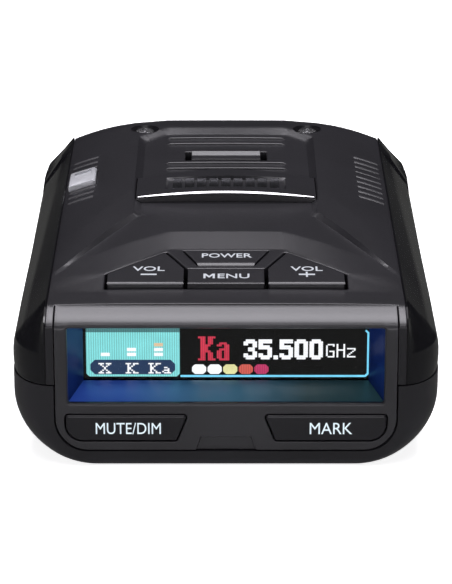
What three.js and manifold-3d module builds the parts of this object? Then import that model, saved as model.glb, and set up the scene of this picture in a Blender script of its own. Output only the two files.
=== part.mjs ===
// Windshield radar detector, in millimetres.
// +X is the driver's right, +Y points to the windshield, +Z is up.
// The origin is the middle of the underside.
import * as THREE from 'three';
import { mergeVertices } from 'three/addons/utils/BufferGeometryUtils.js';
import Module from 'manifold-3d';

const wasm = await Module();
wasm.setup();

// ---- Driving dimensions -------------------------------------------------------------------------

const HALF_WIDTH = 37;
const FRONT_Y = -55.3;
const REAR_Y = 55.5;
const SEAM_Z = 15; // where the lower case meets the upper case and the side trims
const WALL = 2;
const GAP = 0.2; // clearance between neighbouring pieces

const CASE_TOP = { halfWidth: 30.8, frontY: -55.1, deckZ: 31, trayZ: 30.25, edgeZ: 27.75 };
const TRAY = { halfWidth: 16, rearFootY: 41.5, rearTopY: 46 };
const RIBS = { halfWidth: 11.45, width: 0.4, topZ: 30.5, ys: [19.8, 23.4, 36, 39.9] };
const BEZEL = { halfWidth: 29.3, bottomZ: 3.2, seamY: -50, topZ: 27.9, backY: -52.3 };
const WINDOW = {
  halfWidth: 27.1, lowZ: 11.8, highZ: 25.7,
  backHalfWidth: 24.6, backLowZ: 13.8, backHighZ: 25.3,
};
const DISPLAY_ROOM = { halfWidth: 28.2, backY: -43.8, topZ: 26.5 };
const SURROUND = { frontY: -54.4, backY: -49.3 };
const TOP_KEYS = { topZ: 29.1, lowZ: 25.2, frontY: -42.4, bevel: 0.45 };
const FRONT_KEYS = { faceY: -55.5, topZ: 9.7, lowZ: 4.9 };
const RELEASE = { halfWidth: 6.75, pocketHalfWidth: 8, frontY: 25.6, backY: 31, topZ: 31 };
const SOCKET = { halfWidth: 14, frontY: 20, backY: 52.4, lowZ: 18.2, highZ: 25.5, wall: 1.5 };
const BRACKET_SLOT = { halfWidth: 12.3, lowZ: 19.5, highZ: 24.5 };
const BADGE = { halfWidth: 16.9, frontY: -0.5, endZ: 31.1, rise: 1.15, rearEndZ: 30.7, rearRise: 0.8 };
const EMBLEM = { floorZ: 31, frontY: 3.1, rearY: 10.9 };
const PORTS = { backX: -23, lowZ: 4.6, highZ: 12.4, frontY: 10, rearY: 40.2 };
const BOARD = 1.2; // circuit board thickness

// ---- Materials ----------------------------------------------------------------------------------

function material(color, roughness, metalness = 0) {
  return new THREE.MeshStandardMaterial({ color, roughness, metalness });
}

const CASE_PLASTIC = material(0x1b1b1e, 0.62);
const BEZEL_PLASTIC = material(0x232327, 0.42);
const GLOSS_PLASTIC = material(0x08080a, 0.06);
const CLEAR_PLASTIC = material(0x20242a, 0.05);
const MILKY_PLASTIC = material(0xb9bcc2, 0.3);
const DISPLAY_GLASS = material(0x04070c, 0.08);
const CHROME = material(0xd8dadd, 0.12, 1);
const STEEL = material(0x9a9da2, 0.35, 1);
const BRASS = material(0xb9a15a, 0.35, 1);
const BOARD_GREEN = material(0x123a24, 0.5);
const RUBBER = material(0x2a2a2c, 0.85);
const CHIP = material(0x111214, 0.45);
const CERAMIC = material(0xcfc7b4, 0.55);
const FILM = material(0xb5762a, 0.4);
const LABEL = material(0x8e9196, 0.5);

// ---- Shape helpers ------------------------------------------------------------------------------

function solid(geometry) {
  const bare = geometry.clone();
  bare.deleteAttribute('normal');
  bare.deleteAttribute('uv');
  const merged = mergeVertices(bare, 1e-4);
  const corners = merged.index.array;
  const kept = [];
  for (let i = 0; i < corners.length; i += 3) {
    const [a, b, c] = [corners[i], corners[i + 1], corners[i + 2]];
    if (a !== b && b !== c && c !== a) kept.push(a, b, c);
  }
  return new wasm.Manifold(new wasm.Mesh({
    numProp: 3,
    vertProperties: merged.attributes.position.array,
    triVerts: new Uint32Array(kept),
  }));
}

function geometryOf(manifold) {
  const mesh = manifold.getMesh();
  const geometry = new THREE.BufferGeometry();
  geometry.setAttribute('position', new THREE.BufferAttribute(mesh.vertProperties, 3));
  geometry.setIndex(new THREE.BufferAttribute(mesh.triVerts, 1));
  geometry.computeVertexNormals();
  return geometry;
}

function box(x0, x1, y0, y1, z0, z1) {
  const geometry = new THREE.BoxGeometry(x1 - x0, y1 - y0, z1 - z0);
  return geometry.translate((x0 + x1) / 2, (y0 + y1) / 2, (z0 + z1) / 2);
}

function extrude(points, depth) {
  const shape = new THREE.Shape(points.map(([u, v]) => new THREE.Vector2(u, v)));
  return new THREE.ExtrudeGeometry(shape, { depth, bevelEnabled: false });
}

// An outline of (x, y) points, standing from z0 to z1.
function prismZ(points, z0, z1) {
  return extrude(points, z1 - z0).translate(0, 0, z0);
}

// An outline of (x, z) points, running from y0 to y1.
function prismY(points, y0, y1) {
  return extrude(points, y1 - y0).rotateX(Math.PI / 2).translate(0, y1, 0);
}

// An outline of (y, z) points, running from x0 to x1.
function prismX(points, x0, x1) {
  const toX = new THREE.Matrix4().makeBasis(
    new THREE.Vector3(0, 1, 0),
    new THREE.Vector3(0, 0, 1),
    new THREE.Vector3(1, 0, 0),
  );
  return extrude(points, x1 - x0).applyMatrix4(toX).translate(x0, 0, 0);
}

// A round solid about Z: profile points are (radius, z), from the axis and back to it.
function turned(profile, x, y, segments = 12) {
  const points = profile.map(([r, z]) => new THREE.Vector2(r, z));
  return new THREE.LatheGeometry(points, segments).rotateX(Math.PI / 2).translate(x, y, 0);
}

function discZ(x, y, radius, z0, z1, segments = 16) {
  return new THREE.CylinderGeometry(radius, radius, z1 - z0, segments)
    .rotateX(Math.PI / 2)
    .translate(x, y, (z0 + z1) / 2);
}

// Faces turned over, for a geometry that was mirrored.
function turnedOut(geometry) {
  const order = geometry.index.array;
  for (let i = 0; i < order.length; i += 3) [order[i], order[i + 1]] = [order[i + 1], order[i]];
  return geometry;
}

function mirrored(points) {
  return points.map(([u, v]) => [-u, v]).reverse();
}

function closedGeometry(positions, faces) {
  const geometry = new THREE.BufferGeometry();
  geometry.setAttribute('position', new THREE.Float32BufferAttribute(positions.flat(), 3));
  let volume = 0;
  const [a, b, c] = [new THREE.Vector3(), new THREE.Vector3(), new THREE.Vector3()];
  for (const [i, j, k] of faces) {
    volume += a.set(...positions[i]).dot(b.set(...positions[j]).cross(c.set(...positions[k])));
  }
  const outward = volume > 0 ? faces : faces.map(([i, j, k]) => [i, k, j]);
  geometry.setIndex(outward.flat());
  return geometry;
}

// A skin through rings with equal point counts, closed by a flat cap at each end.
// Each ring is { outline: [[u, v], ...], at } and place(u, v, at) gives the point in space.
function loft(rings, place) {
  const count = rings[0].outline.length;
  const positions = rings.flatMap(({ outline, at }) => outline.map(([u, v]) => place(u, v, at)));
  const faces = [];
  for (let r = 0; r + 1 < rings.length; r += 1) {
    for (let i = 0; i < count; i += 1) {
      const [a, b] = [r * count + i, r * count + ((i + 1) % count)];
      faces.push([a, b, b + count], [a, b + count, a + count]);
    }
  }
  const cap = (ring) => THREE.ShapeUtils.triangulateShape(
    rings[ring].outline.map(([u, v]) => new THREE.Vector2(u, v)), []);
  const last = rings.length - 1;
  const turn = THREE.ShapeUtils.isClockWise(rings[0].outline.map(([u, v]) => new THREE.Vector2(u, v)));
  for (const [i, j, k] of cap(0)) faces.push(turn ? [i, j, k] : [i, k, j]);
  for (const [i, j, k] of cap(last)) {
    const up = [i, j, k].map((n) => n + last * count);
    faces.push(turn ? [up[0], up[2], up[1]] : up);
  }
  return closedGeometry(positions, faces);
}

const group = new THREE.Group();

function add(name, shape, surface) {
  const geometry = shape.isBufferGeometry ? shape : geometryOf(shape);
  const mesh = new THREE.Mesh(geometry, surface);
  mesh.name = name;
  group.add(mesh);
}

function union(...geometries) {
  return geometries.map(solid).reduce((sum, next) => sum.add(next));
}

function cut(body, ...tools) {
  return tools.map(solid).reduce((rest, tool) => rest.subtract(tool), body);
}

// ---- The case's plan outline and its top surface ------------------------------------------------

const REAR_BOW = [[31, 50.3], [28, 51.8], [24, 53.3], [13.5, 55], [0, 55.5]];

// Half width of the lower case at a height: upright sides, then a large round to the flat underside.
function lowerHalfWidth(z, inset) {
  const flat = 26;
  const rise = 11.2 - inset;
  const across = HALF_WIDTH - flat - inset;
  const drop = Math.min(1, Math.max(0, 1 - (z - inset) / rise));
  return flat + across * Math.sqrt(1 - drop * drop);
}

// Setback of the front and rear faces near the underside.
function lowerSetback(z, inset) {
  const radius = 1.8;
  const drop = Math.min(1, Math.max(0, 1 - (z - inset) / radius));
  return inset + radius * (1 - Math.sqrt(1 - drop * drop));
}

function planOutline(halfWidth, setback) {
  const corner = { x: 29.5, y: -45, across: 7.5, along: 10.3 };
  const squeeze = halfWidth / HALF_WIDTH;
  const steps = 6;
  const right = [];
  for (let i = 0; i <= steps; i += 1) {
    const angle = (i / steps) * (Math.PI / 2);
    const x = (corner.x + corner.across * Math.sin(angle)) * squeeze;
    right.push([x, corner.y - (corner.along - setback) * Math.cos(angle)]);
  }
  right.push([halfWidth, 45], [halfWidth - 0.5, 49.4 - setback]);
  for (const [x, y] of REAR_BOW) right.push([x * squeeze, y - setback]);
  const left = mirrored(right).slice(1);
  return [...right, ...left];
}

function rearProfile(halfWidth, frontY, setback = 0) {
  const right = REAR_BOW.map(([x, y]) => [Math.min(x, halfWidth), y - setback]);
  return [[-halfWidth, frontY], [halfWidth, frontY], ...right, ...mirrored(right).slice(1)];
}

function trayHeight(a) {
  if (a <= TRAY.halfWidth) return CASE_TOP.trayZ - 0.2 * (a / TRAY.halfWidth) ** 2;
  const out = (a - TRAY.halfWidth) / (31 - TRAY.halfWidth);
  return CASE_TOP.trayZ - 0.2 - (CASE_TOP.trayZ - 0.2 - CASE_TOP.edgeZ) * out ** 1.3;
}

function deckHeight(a, y) {
  const out = Math.max(0, (a - 18) / 13);
  const fall = Math.max(0, (y - TRAY.rearTopY) / 9.5);
  return CASE_TOP.deckZ - (CASE_TOP.deckZ - CASE_TOP.edgeZ) * out ** 1.6 - 1.5 * fall ** 1.4;
}

// How far the rounded front edge has fallen at y: a slight slope, then a tight turn down.
function noseDrop(y) {
  const t = Math.min(1, Math.max(0, (BEZEL.seamY - y) / (BEZEL.seamY - FRONT_Y)));
  return 1.45 * t + 1.25 * (1 - Math.sqrt(1 - t ** 8));
}

function frontHeight(a, y) {
  const rise = Math.min(1, Math.max(0, (y + 43.5) / 7));
  const base = BEZEL.topZ + 0.15 + 0.95 * rise;
  return base - (base - CASE_TOP.edgeZ) * (a / 31) ** 4 - noseDrop(y);
}

// Where the slope behind the keys starts: straight across, then raked forward at both sides.
function slopeFootY(a) {
  const straight = 10.2;
  const raked = 22;
  if (a <= straight) return -24.3;
  if (a <= raked) return -24.3 - 1.12 * (a - straight);
  return -37.5 - 0.6 * (a - raked);
}

// Where the side decks' front edge starts: a diagonal from the tray's corner to the side.
function deckFootY(a) {
  return -7.2 - 1.9 * (Math.max(a, TRAY.halfWidth) - 15.4);
}

const STATIONS = [0, 6, 11, 16, 17.4, 20, 23, 26, 28.5, 31];

// The solid under the case's top surface, lowered by drop, down to floorZ.
function underTop(drop, floorZ) {
  const xs = [...STATIONS.slice(1).reverse().map((x) => -x), ...STATIONS];
  const column = (x) => {
    const a = Math.abs(x);
    const raised = a > TRAY.halfWidth + 0.5;
    const slope = Math.max(0.8, 6.8 * (1 - Math.max(0, a - 10.2) / 20));
    const front = [-55.6, -54.6, -53, BEZEL.seamY, -43.5, slopeFootY(a)];
    const rows = front.map((y) => [y, frontHeight(a, y)]);
    rows.push([slopeFootY(a) + slope, trayHeight(a)]);
    rows.push([deckFootY(a), trayHeight(a)]);
    const deckY = deckFootY(a) + 1.6;
    rows.push([deckY, raised ? deckHeight(a, deckY) : trayHeight(a)]);
    const cornerCut = 1.05 * Math.min(4.4, Math.max(0, a - 11.6));
    rows.push([TRAY.rearFootY - cornerCut, raised ? deckHeight(a, 0) : trayHeight(a)]);
    rows.push([TRAY.rearTopY - 1.2 * cornerCut, deckHeight(a, TRAY.rearTopY)]);
    for (const y of [TRAY.rearTopY + 0.5, 50.5, 56.5]) rows.push([y, deckHeight(a, y)]);
    return rows;
  };
  const columns = xs.map(column);
  const rowCount = columns[0].length;
  const positions = [];
  columns.forEach((rows, i) => rows.forEach(([y, z]) => positions.push([xs[i], y, z - drop])));
  const topCount = positions.length;
  columns.forEach((rows, i) => rows.forEach(([y]) => positions.push([xs[i], y, floorZ])));
  const faces = [];
  const quad = (a, b, c, d) => faces.push([a, b, c], [a, c, d]);
  const at = (i, j) => i * rowCount + j;
  for (let i = 0; i + 1 < xs.length; i += 1) {
    for (let j = 0; j + 1 < rowCount; j += 1) {
      const patch = [at(i, j), at(i + 1, j), at(i + 1, j + 1), at(i, j + 1)];
      quad(...patch);
      quad(...patch.reverse().map((corner) => corner + topCount));
    }
    for (const j of [0, rowCount - 1]) {
      const side = [at(i, j), at(i + 1, j), topCount + at(i + 1, j), topCount + at(i, j)];
      if (j === 0) side.reverse();
      quad(...side);
    }
  }
  for (const i of [0, xs.length - 1]) {
    for (let j = 0; j + 1 < rowCount; j += 1) {
      const side = [at(i, j), at(i, j + 1), topCount + at(i, j + 1), topCount + at(i, j)];
      if (i !== 0) side.reverse();
      quad(...side);
    }
  }
  return closedGeometry(positions, faces);
}

// ---- Top keys -----------------------------------------------------------------------------------

const VOLUME_UP_OUTLINE = [[7.1, -42.4], [21, -42.4], [21, -36.8], [10.7, -25.8], [7.1, -34.7]];
const MENU_OUTLINE = [[-6.7, -42.4], [6.7, -42.4], [6.7, -34.7], [-6.7, -34.7]];
const POWER_OUTLINE = [[-4.8, -32.8], [4.8, -32.8], [7.6, -25], [-7.6, -25]];
const KEY_POCKET = [
  [-21.2, -42.6], [21.2, -42.6], [21.2, -36.7], [10.6, -25.4], [6.9, -34.5],
  [-6.9, -34.5], [-10.6, -25.4], [-21.2, -36.7],
];
const POWER_POCKET = [[-5, -33], [5, -33], [7.9, -24.8], [-7.9, -24.8]];

function centreOf(points) {
  const sum = points.reduce(([u, v], [a, b]) => [u + a, v + b], [0, 0]);
  return [sum[0] / points.length, sum[1] / points.length];
}

function grown(points, factor) {
  const [cu, cv] = centreOf(points);
  return points.map(([u, v]) => [cu + (u - cu) * factor, cv + (v - cv) * factor]);
}

// A cap with a flange that stops it under the case wall, and a stem that reaches its switch.
function topKey(outline) {
  const [x, y] = centreOf(outline);
  const { lowZ, topZ, bevel } = TOP_KEYS;
  const whole = union(
    prismZ(outline, lowZ, topZ),
    prismZ(grown(outline, 0.96), lowZ - 0.5, lowZ + 0.1),
    box(x - 1.5, x + 1.5, y - 1.5, y + 1.5, lowZ - 1, lowZ - 0.4),
  );
  return cut(whole, frontBevel(Math.min(...outline.map(([, v]) => v)), topZ, bevel));
}

// The wedge that takes the sharp edge off a cap's front, along X.
function frontBevel(y, z, size) {
  return prismX([[y - 1, z - size - 1], [y + size + 1, z + 1], [y - 1, z + 1]], -40, 40);
}

const TOP_KEY_OUTLINES = {
  volume_down: mirrored(VOLUME_UP_OUTLINE),
  volume_up: VOLUME_UP_OUTLINE,
  power: POWER_OUTLINE,
  menu: MENU_OUTLINE,
};

// ---- Upper case ---------------------------------------------------------------------------------

const SLITS = { count: 9, firstY: 29, pitch: 3.1, innerX: 25.2, outerX: 30, width: 0.6 };
const LIGHT_PIPE = { x0: -30.4, x1: -25, y0: 12, y1: 20.4 };
const TOP_SCREW = { x: 16.35, y: 44.2, recessR: 2.7, floorZ: 29.6 };

function slitYs(side) {
  const ys = [];
  for (let i = 0; i < SLITS.count; i += 1) {
    const y = SLITS.firstY - i * SLITS.pitch;
    const covered = side < 0 && y > LIGHT_PIPE.y0 - 1 && y < LIGHT_PIPE.y1 + 1;
    if (!covered) ys.push(y);
  }
  return ys;
}

function topCase() {
  const outer = solid(underTop(0, SEAM_Z + GAP))
    .intersect(solid(prismZ(rearProfile(CASE_TOP.halfWidth, CASE_TOP.frontY), 0, 40)));
  const inner = solid(underTop(WALL, SEAM_Z - 5))
    .intersect(solid(prismZ(rearProfile(CASE_TOP.halfWidth - 1.5, -60, WALL), 0, 40)));
  const bezelSide = BEZEL.halfWidth + 0.15;
  const bezelRoom = box(-bezelSide, bezelSide, -60, BEZEL.seamY + 0.1, 0, 40);
  const ribs = RIBS.ys.map((y) => solid(box(
    -RIBS.halfWidth, RIBS.halfWidth, y - RIBS.width / 2, y + RIBS.width / 2, 29.5, RIBS.topZ,
  )));
  let body = cut(ribs.reduce((sum, rib) => sum.add(rib), outer.subtract(inner)), bezelRoom);
  const { x0, x1, y0, y1 } = LIGHT_PIPE;
  const { pocketHalfWidth, frontY, backY } = RELEASE;
  const slot = BRACKET_SLOT;
  const room = DISPLAY_ROOM;
  body = cut(
    body,
    prismZ(KEY_POCKET, 20, 40),
    prismZ(POWER_POCKET, 20, 40),
    box(-pocketHalfWidth, pocketHalfWidth, frontY - GAP, backY + GAP, 26, 40),
    box(x0 - GAP, x1 + GAP, y0 - GAP, y1 + GAP, 25.4, 40),
    box(-slot.halfWidth, slot.halfWidth, 50, 60, slot.lowZ, slot.highZ),
    box(-room.halfWidth, room.halfWidth, -51, room.backY, 14, room.topZ),
  );
  for (const side of [-1, 1]) {
    for (const y of slitYs(side)) {
      const [near, far] = [side * SLITS.innerX, side * SLITS.outerX].sort((a, b) => a - b);
      body = cut(body, box(near, far, y - SLITS.width / 2, y + SLITS.width / 2, 24, 33));
    }
    const x = side * TOP_SCREW.x;
    body = cut(
      body,
      discZ(x, TOP_SCREW.y, TOP_SCREW.recessR, TOP_SCREW.floorZ, 34, 14),
      discZ(x, TOP_SCREW.y, 1.3, 25, 34, 10),
    );
  }
  return cut(body, badgePocket());
}

// ---- Badge --------------------------------------------------------------------------------------

const BADGE_STATIONS = [-1, -0.75, -0.5, -0.25, 0, 0.25, 0.5, 0.75, 1];

function badgeFrontZ(bow) {
  return BADGE.endZ + BADGE.rise * bow;
}

// One cross-section of the arched badge at t = x / half width, as (y, z) points: an upright front
// with a rebate for the chrome strip, and a top that falls a little towards the windshield.
function badgeSection(t) {
  const bow = 1 - t * t;
  const frontZ = badgeFrontZ(bow);
  const rearY = 12.3 + 3.6 * bow;
  return [
    [BADGE.frontY, 29.75], [BADGE.frontY, frontZ - 0.43], [0.1, frontZ - 0.43], [0.1, frontZ],
    [rearY, BADGE.rearEndZ + BADGE.rearRise * bow], [rearY, 29.75],
  ];
}

function badgeLoft(sectionAt) {
  const rings = BADGE_STATIONS.map((t) => ({ outline: sectionAt(t), at: t * BADGE.halfWidth }));
  return loft(rings, (y, z, x) => [x, y, z]);
}

function badgePocket() {
  const rings = BADGE_STATIONS.map((t) => {
    const rearY = 12.3 + 3.6 * (1 - t * t) + GAP;
    const outline = [[-0.7, 29.55], [-0.7, 33], [rearY, 33], [rearY, 29.55]];
    return { outline, at: t * (BADGE.halfWidth + GAP) };
  });
  return loft(rings, (y, z, x) => [x, y, z]);
}

function badgePlate() {
  const recess = box(-11.4, 11.4, EMBLEM.frontY, EMBLEM.rearY, EMBLEM.floorZ, 40);
  return cut(solid(badgeLoft(badgeSection)), recess);
}

// The strip lies in the rebate along the badge's upper front edge and thins out to its ends.
function chromeStrip() {
  const rings = BADGE_STATIONS.map((t) => {
    const bow = 1 - t * t;
    const z = badgeFrontZ(bow);
    const frontY = BADGE.frontY - 0.05 - 0.12 * bow;
    const front = [[frontY, z - 0.36], [frontY, z - 0.12]];
    const back = [[-0.1, z + 0.05], [-0.1, z - 0.36]];
    return { outline: [...front, ...back], at: t * (BADGE.halfWidth - 0.4) };
  });
  return loft(rings, (y, z, x) => [x, y, z]);
}

// A thin base with a row of plain bars.
function emblem() {
  const floor = EMBLEM.floorZ + 0.03;
  const [pitch, halfBar] = [2.3, 0.8];
  const [frontY, rearY] = [EMBLEM.frontY + 0.5, EMBLEM.rearY - 0.5];
  const bars = [-4, -3, -2, -1, 0, 1, 2, 3, 4].map((i) => {
    const x = i * pitch;
    return box(x - halfBar, x + halfBar, frontY + 0.5, rearY - 0.5, floor, floor + 0.55);
  });
  return union(box(-10.9, 10.9, frontY, rearY, floor, floor + 0.25), ...bars);
}

// ---- Driver's face ------------------------------------------------------------------------------

const MARK_OUTLINE = [
  [6.6, 9.7], [8.5, 4.9], [24.6, 4.9], [26, 5.3], [27, 6.2], [27.6, 7.6], [27.6, 9.7],
];

function bezelOutline(extra) {
  const side = BEZEL.halfWidth + extra;
  const low = BEZEL.bottomZ - extra;
  const right = [[23.5, low]];
  const radius = 5.6;
  for (let i = 1; i <= 5; i += 1) {
    const angle = (i / 5) * (Math.PI / 2);
    right.push([side - radius * (1 - Math.sin(angle)), low + radius * (1 - Math.cos(angle)) * 1.05]);
  }
  right.push([side, 40]);
  return [...right, ...mirrored(right)];
}

function frontBezel() {
  const arc = [-52, -53.5, -54.5, -55.1, FRONT_Y].map((y) => [y, BEZEL.topZ - noseDrop(y)]);
  const profile = [
    [FRONT_Y, 0], ...arc.reverse(), [BEZEL.seamY, BEZEL.topZ], [BEZEL.seamY, 26.9],
    [BEZEL.backY, 26.6], [BEZEL.backY, 0],
  ];
  const { halfWidth, lowZ, highZ } = WINDOW;
  let body = solid(prismX(profile, -BEZEL.halfWidth, BEZEL.halfWidth));
  body = body.intersect(solid(prismY(bezelOutline(0), -60, -45)));
  return cut(
    body,
    box(-halfWidth, halfWidth, -60, -50, lowZ, highZ),
    box(-halfWidth - 0.8, halfWidth + 0.8, SURROUND.frontY - 0.1, -49, lowZ - 0.8, highZ + 0.7),
    prismY(pocketOutline(MARK_OUTLINE), -60, -45),
    prismY(pocketOutline(mirrored(MARK_OUTLINE)), -60, -45),
  );
}

function pocketOutline(points) {
  const [cx, cz] = centreOf(points);
  return points.map(([x, z]) => [x + Math.sign(x - cx) * GAP, z + Math.sign(z - cz) * GAP]);
}

function frontKey(outline) {
  const [x] = centreOf(outline);
  const z = (FRONT_KEYS.topZ + FRONT_KEYS.lowZ) / 2;
  return union(
    prismY(outline, FRONT_KEYS.faceY, BEZEL.backY + 0.4),
    prismY(pocketOutline(pocketOutline(pocketOutline(outline))), BEZEL.backY + GAP, BEZEL.backY + 1),
    box(x - 1.5, x + 1.5, BEZEL.backY + 0.5, -49.2, z - 1.5, z + 1.5),
  );
}

function rectangle(halfWidth, lowZ, highZ) {
  return [[-halfWidth, lowZ], [halfWidth, lowZ], [halfWidth, highZ], [-halfWidth, highZ]];
}

function displaySurround() {
  const hole = loft([
    { outline: rectangle(WINDOW.halfWidth, WINDOW.lowZ, WINDOW.highZ), at: SURROUND.frontY },
    { outline: rectangle(WINDOW.backHalfWidth, WINDOW.backLowZ, WINDOW.backHighZ), at: SURROUND.backY },
  ], (x, z, y) => [x, y, z]);
  const outside = box(-27.7, 27.7, SURROUND.frontY + 0.05, SURROUND.backY - 0.05, 11.2, 26.2);
  return solid(outside).subtract(solid(hole));
}

// ---- Side trims ---------------------------------------------------------------------------------

// Outer half width in plan: the rounded front corner, the straight side, the chamfered rear corner.
function sideX(y) {
  if (y < -45) return 29.5 + 7.5 * Math.sqrt(Math.max(0, 1 - ((y + 45) / 10.3) ** 2));
  if (y > 45) return HALF_WIDTH - 0.5 * ((y - 45) / 4.4);
  return HALF_WIDTH;
}

// Two facets meet at a crease that falls from the rear to the front.
function trimSection(y, wall) {
  const back = (y + 55) / 105;
  const width = sideX(y) - 31 - wall;
  const reach = (x) => 31 + (x - 31) * (width / 6);
  const sink = noseDrop(y) + wall;
  const low = SEAM_Z + GAP;
  return [
    [31, low], [reach(36.8), low], [reach(37), 18], [reach(36.7), 20.6],
    [reach(35.3 - 2.3 * back), 22.6 + 3.6 * back - sink], [31.1, 27.6 - sink], [31, 27.6 - sink],
  ];
}

// A closed wedge that is hollow from below and behind its outer wall.
function sideTrim(side) {
  const shell = (ys, wall) => {
    const rings = ys.map((y) => ({ outline: trimSection(y, wall), at: y }));
    return solid(loft(rings, (x, z, y) => [side * x, y, z]));
  };
  const outer = shell([-54.7, -54, -52.6, -50.4, -48, -45, -25, 0, 25, 45, 49.4], 0);
  const inner = shell([-46, 47.6], 1.8).translate([0, 0, -1]);
  const innerWall = box(31, 31.9, -60, 60, 0, 40).scale(side, 1, 1);
  return outer.subtract(inner.subtract(solid(side < 0 ? turnedOut(innerWall) : innerWall)));
}

// ---- Lower case ---------------------------------------------------------------------------------

const BOTTOM_SCREWS = [[-17.5, -36], [17.5, -36], [-17.5, 38], [17.5, 38]];
const PLATE = { x: 15, y0: -12, y1: 20, depth: 0.5 };
const REAR_WINDOW = { halfWidth: 22.5, lowZ: 3.8, highZ: 14.4 };

function lowerBody(levels, inset) {
  const rings = levels.map((z) => ({
    outline: planOutline(lowerHalfWidth(z, inset), lowerSetback(z, inset)),
    at: z,
  }));
  return loft(rings, (x, y, z) => [x, y, z]);
}

function bottomCase() {
  const outer = solid(lowerBody([0, 0.3, 0.9, 1.8, 3.2, 5.2, 8, 11.2, SEAM_Z], 0));
  const inner = solid(lowerBody([WALL, 3, 4.5, 7, 10, SEAM_Z + 1], WALL));
  let body = outer.subtract(inner);
  const { halfWidth, lowZ, highZ } = REAR_WINDOW;
  body = cut(
    body,
    prismY(bezelOutline(0.15), -60, BEZEL.backY + 1.3),
    box(-halfWidth - GAP, halfWidth + GAP, 48, 60, lowZ - GAP, highZ + GAP),
    box(-45, -28, PORTS.frontY, PORTS.rearY, PORTS.lowZ - GAP, PORTS.highZ + GAP),
    box(-PLATE.x - GAP, PLATE.x + GAP, PLATE.y0 - GAP, PLATE.y1 + GAP, -1, PLATE.depth),
  );
  for (const [x, y] of BOTTOM_SCREWS) {
    body = cut(body, discZ(x, y, 2.7, -1, 1.1, 12), discZ(x, y, 1.3, -1, 4, 8));
  }
  return body;
}

// A plate that follows the lower case's rear wall, slightly sunk in it.
function antennaWindow() {
  const { halfWidth, lowZ, highZ } = REAR_WINDOW;
  const levels = [2.4, 4, 6.5, 10, SEAM_Z];
  const plate = solid(lowerBody(levels, 0.4)).subtract(solid(lowerBody([0, ...levels, 16], 1.9)));
  return plate.intersect(solid(box(-halfWidth, halfWidth, 40, 60, lowZ, highZ)));
}

// ---- Inner pieces -------------------------------------------------------------------------------

function screw(x, y, headZ, up) {
  const head = 1;
  const profile = [[0, 0], [1.8, 0], [1.8, head], [0.9, head], [0.9, 6], [0, 6]];
  const placed = profile.map(([r, z]) => [r, headZ + (up ? -z : z)]);
  return turned(up ? placed.reverse() : placed, x, y);
}

function hornShell() {
  const ring = (halfWidth, lowZ, highZ, at) => ({ outline: rectangle(halfWidth, lowZ, highZ), at });
  const place = (x, z, y) => [x, y, z];
  const outer = loft([ring(6, 6.6, 11.6, 24), ring(6, 6.6, 11.6, 28), ring(15, 4.2, 13.8, 49.5)], place);
  const inner = loft([ring(5.2, 7.4, 10.8, 24.8), ring(5.2, 7.4, 10.8, 28), ring(14.2, 5, 13, 50)], place);
  return solid(outer).subtract(solid(inner));
}

function tactileSwitch(x, y, baseZ) {
  return union(
    box(x - 2.2, x + 2.2, y - 2.2, y + 2.2, baseZ, baseZ + 0.7),
    discZ(x, y, 0.9, baseZ + 0.5, baseZ + 0.95, 8),
  );
}

function frontSwitch(x) {
  const z = (FRONT_KEYS.topZ + FRONT_KEYS.lowZ) / 2;
  const plunger = discZ(0, 0, 0.9, 0, 0.7, 8).rotateX(Math.PI / 2).translate(x, -47.5, z);
  return union(box(x - 2.2, x + 2.2, -47.6, -45.4, z - 2.2, z + 2.2), plunger);
}

// An oval with straight sides along Y.
function stadium(x, y, radius, halfLength) {
  const steps = 8;
  const points = [];
  for (let i = 0; i <= steps; i += 1) {
    const angle = (i / steps) * Math.PI;
    points.push([x + radius * Math.cos(angle), y + halfLength - radius + radius * Math.sin(angle)]);
  }
  for (let i = 0; i <= steps; i += 1) {
    const angle = Math.PI + (i / steps) * Math.PI;
    points.push([x + radius * Math.cos(angle), y - halfLength + radius + radius * Math.sin(angle)]);
  }
  return points;
}

function ribbonProfile() {
  const top = [[-43.6, 8], [-43.2, 8], [-41.5, 10.5], [-41.2, 15.6], [-40.6, 16.1], [-38, 16.1]];
  const thickness = 0.3;
  return [
    [-43.6, 8 + thickness], [-43.3, 8 + thickness], [-41.8, 10.7], [-41.5, 15.7],
    [-40.7, 16.1 + thickness], [-38, 16.1 + thickness], ...top.reverse(),
  ];
}

// The release bar's spring: a round wire wound about Z.
function coilSpring(x, y, z0, z1) {
  const wire = 0.22;
  const turns = 2.5;
  const radius = 2.9;
  const steps = Math.round(turns * 12);
  const points = [];
  for (let i = 0; i <= steps; i += 1) {
    const angle = (i / steps) * turns * Math.PI * 2;
    const z = z0 + wire + ((z1 - z0 - 2 * wire) * i) / steps;
    points.push(new THREE.Vector3(x + radius * Math.cos(angle), y + radius * Math.sin(angle), z));
  }
  const section = [];
  for (let i = 0; i < 6; i += 1) {
    const angle = (i / 6) * Math.PI * 2;
    section.push(new THREE.Vector2(wire * Math.cos(angle), wire * Math.sin(angle)));
  }
  const extrudePath = new THREE.CatmullRomCurve3(points);
  return new THREE.ExtrudeGeometry(new THREE.Shape(section), { steps, extrudePath, bevelEnabled: false });
}

function mountSocket() {
  const { halfWidth, frontY, backY, lowZ, highZ, wall } = SOCKET;
  const inside = halfWidth - wall - 0.5;
  return cut(
    solid(box(-halfWidth, halfWidth, frontY, backY, lowZ, highZ)),
    box(-inside, inside, frontY + wall, backY + 1, lowZ + wall, highZ - wall + 0.3),
    box(-2.3, 2.3, 26.7, 29.9, lowZ + wall + 1, highZ + 1),
  );
}

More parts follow.
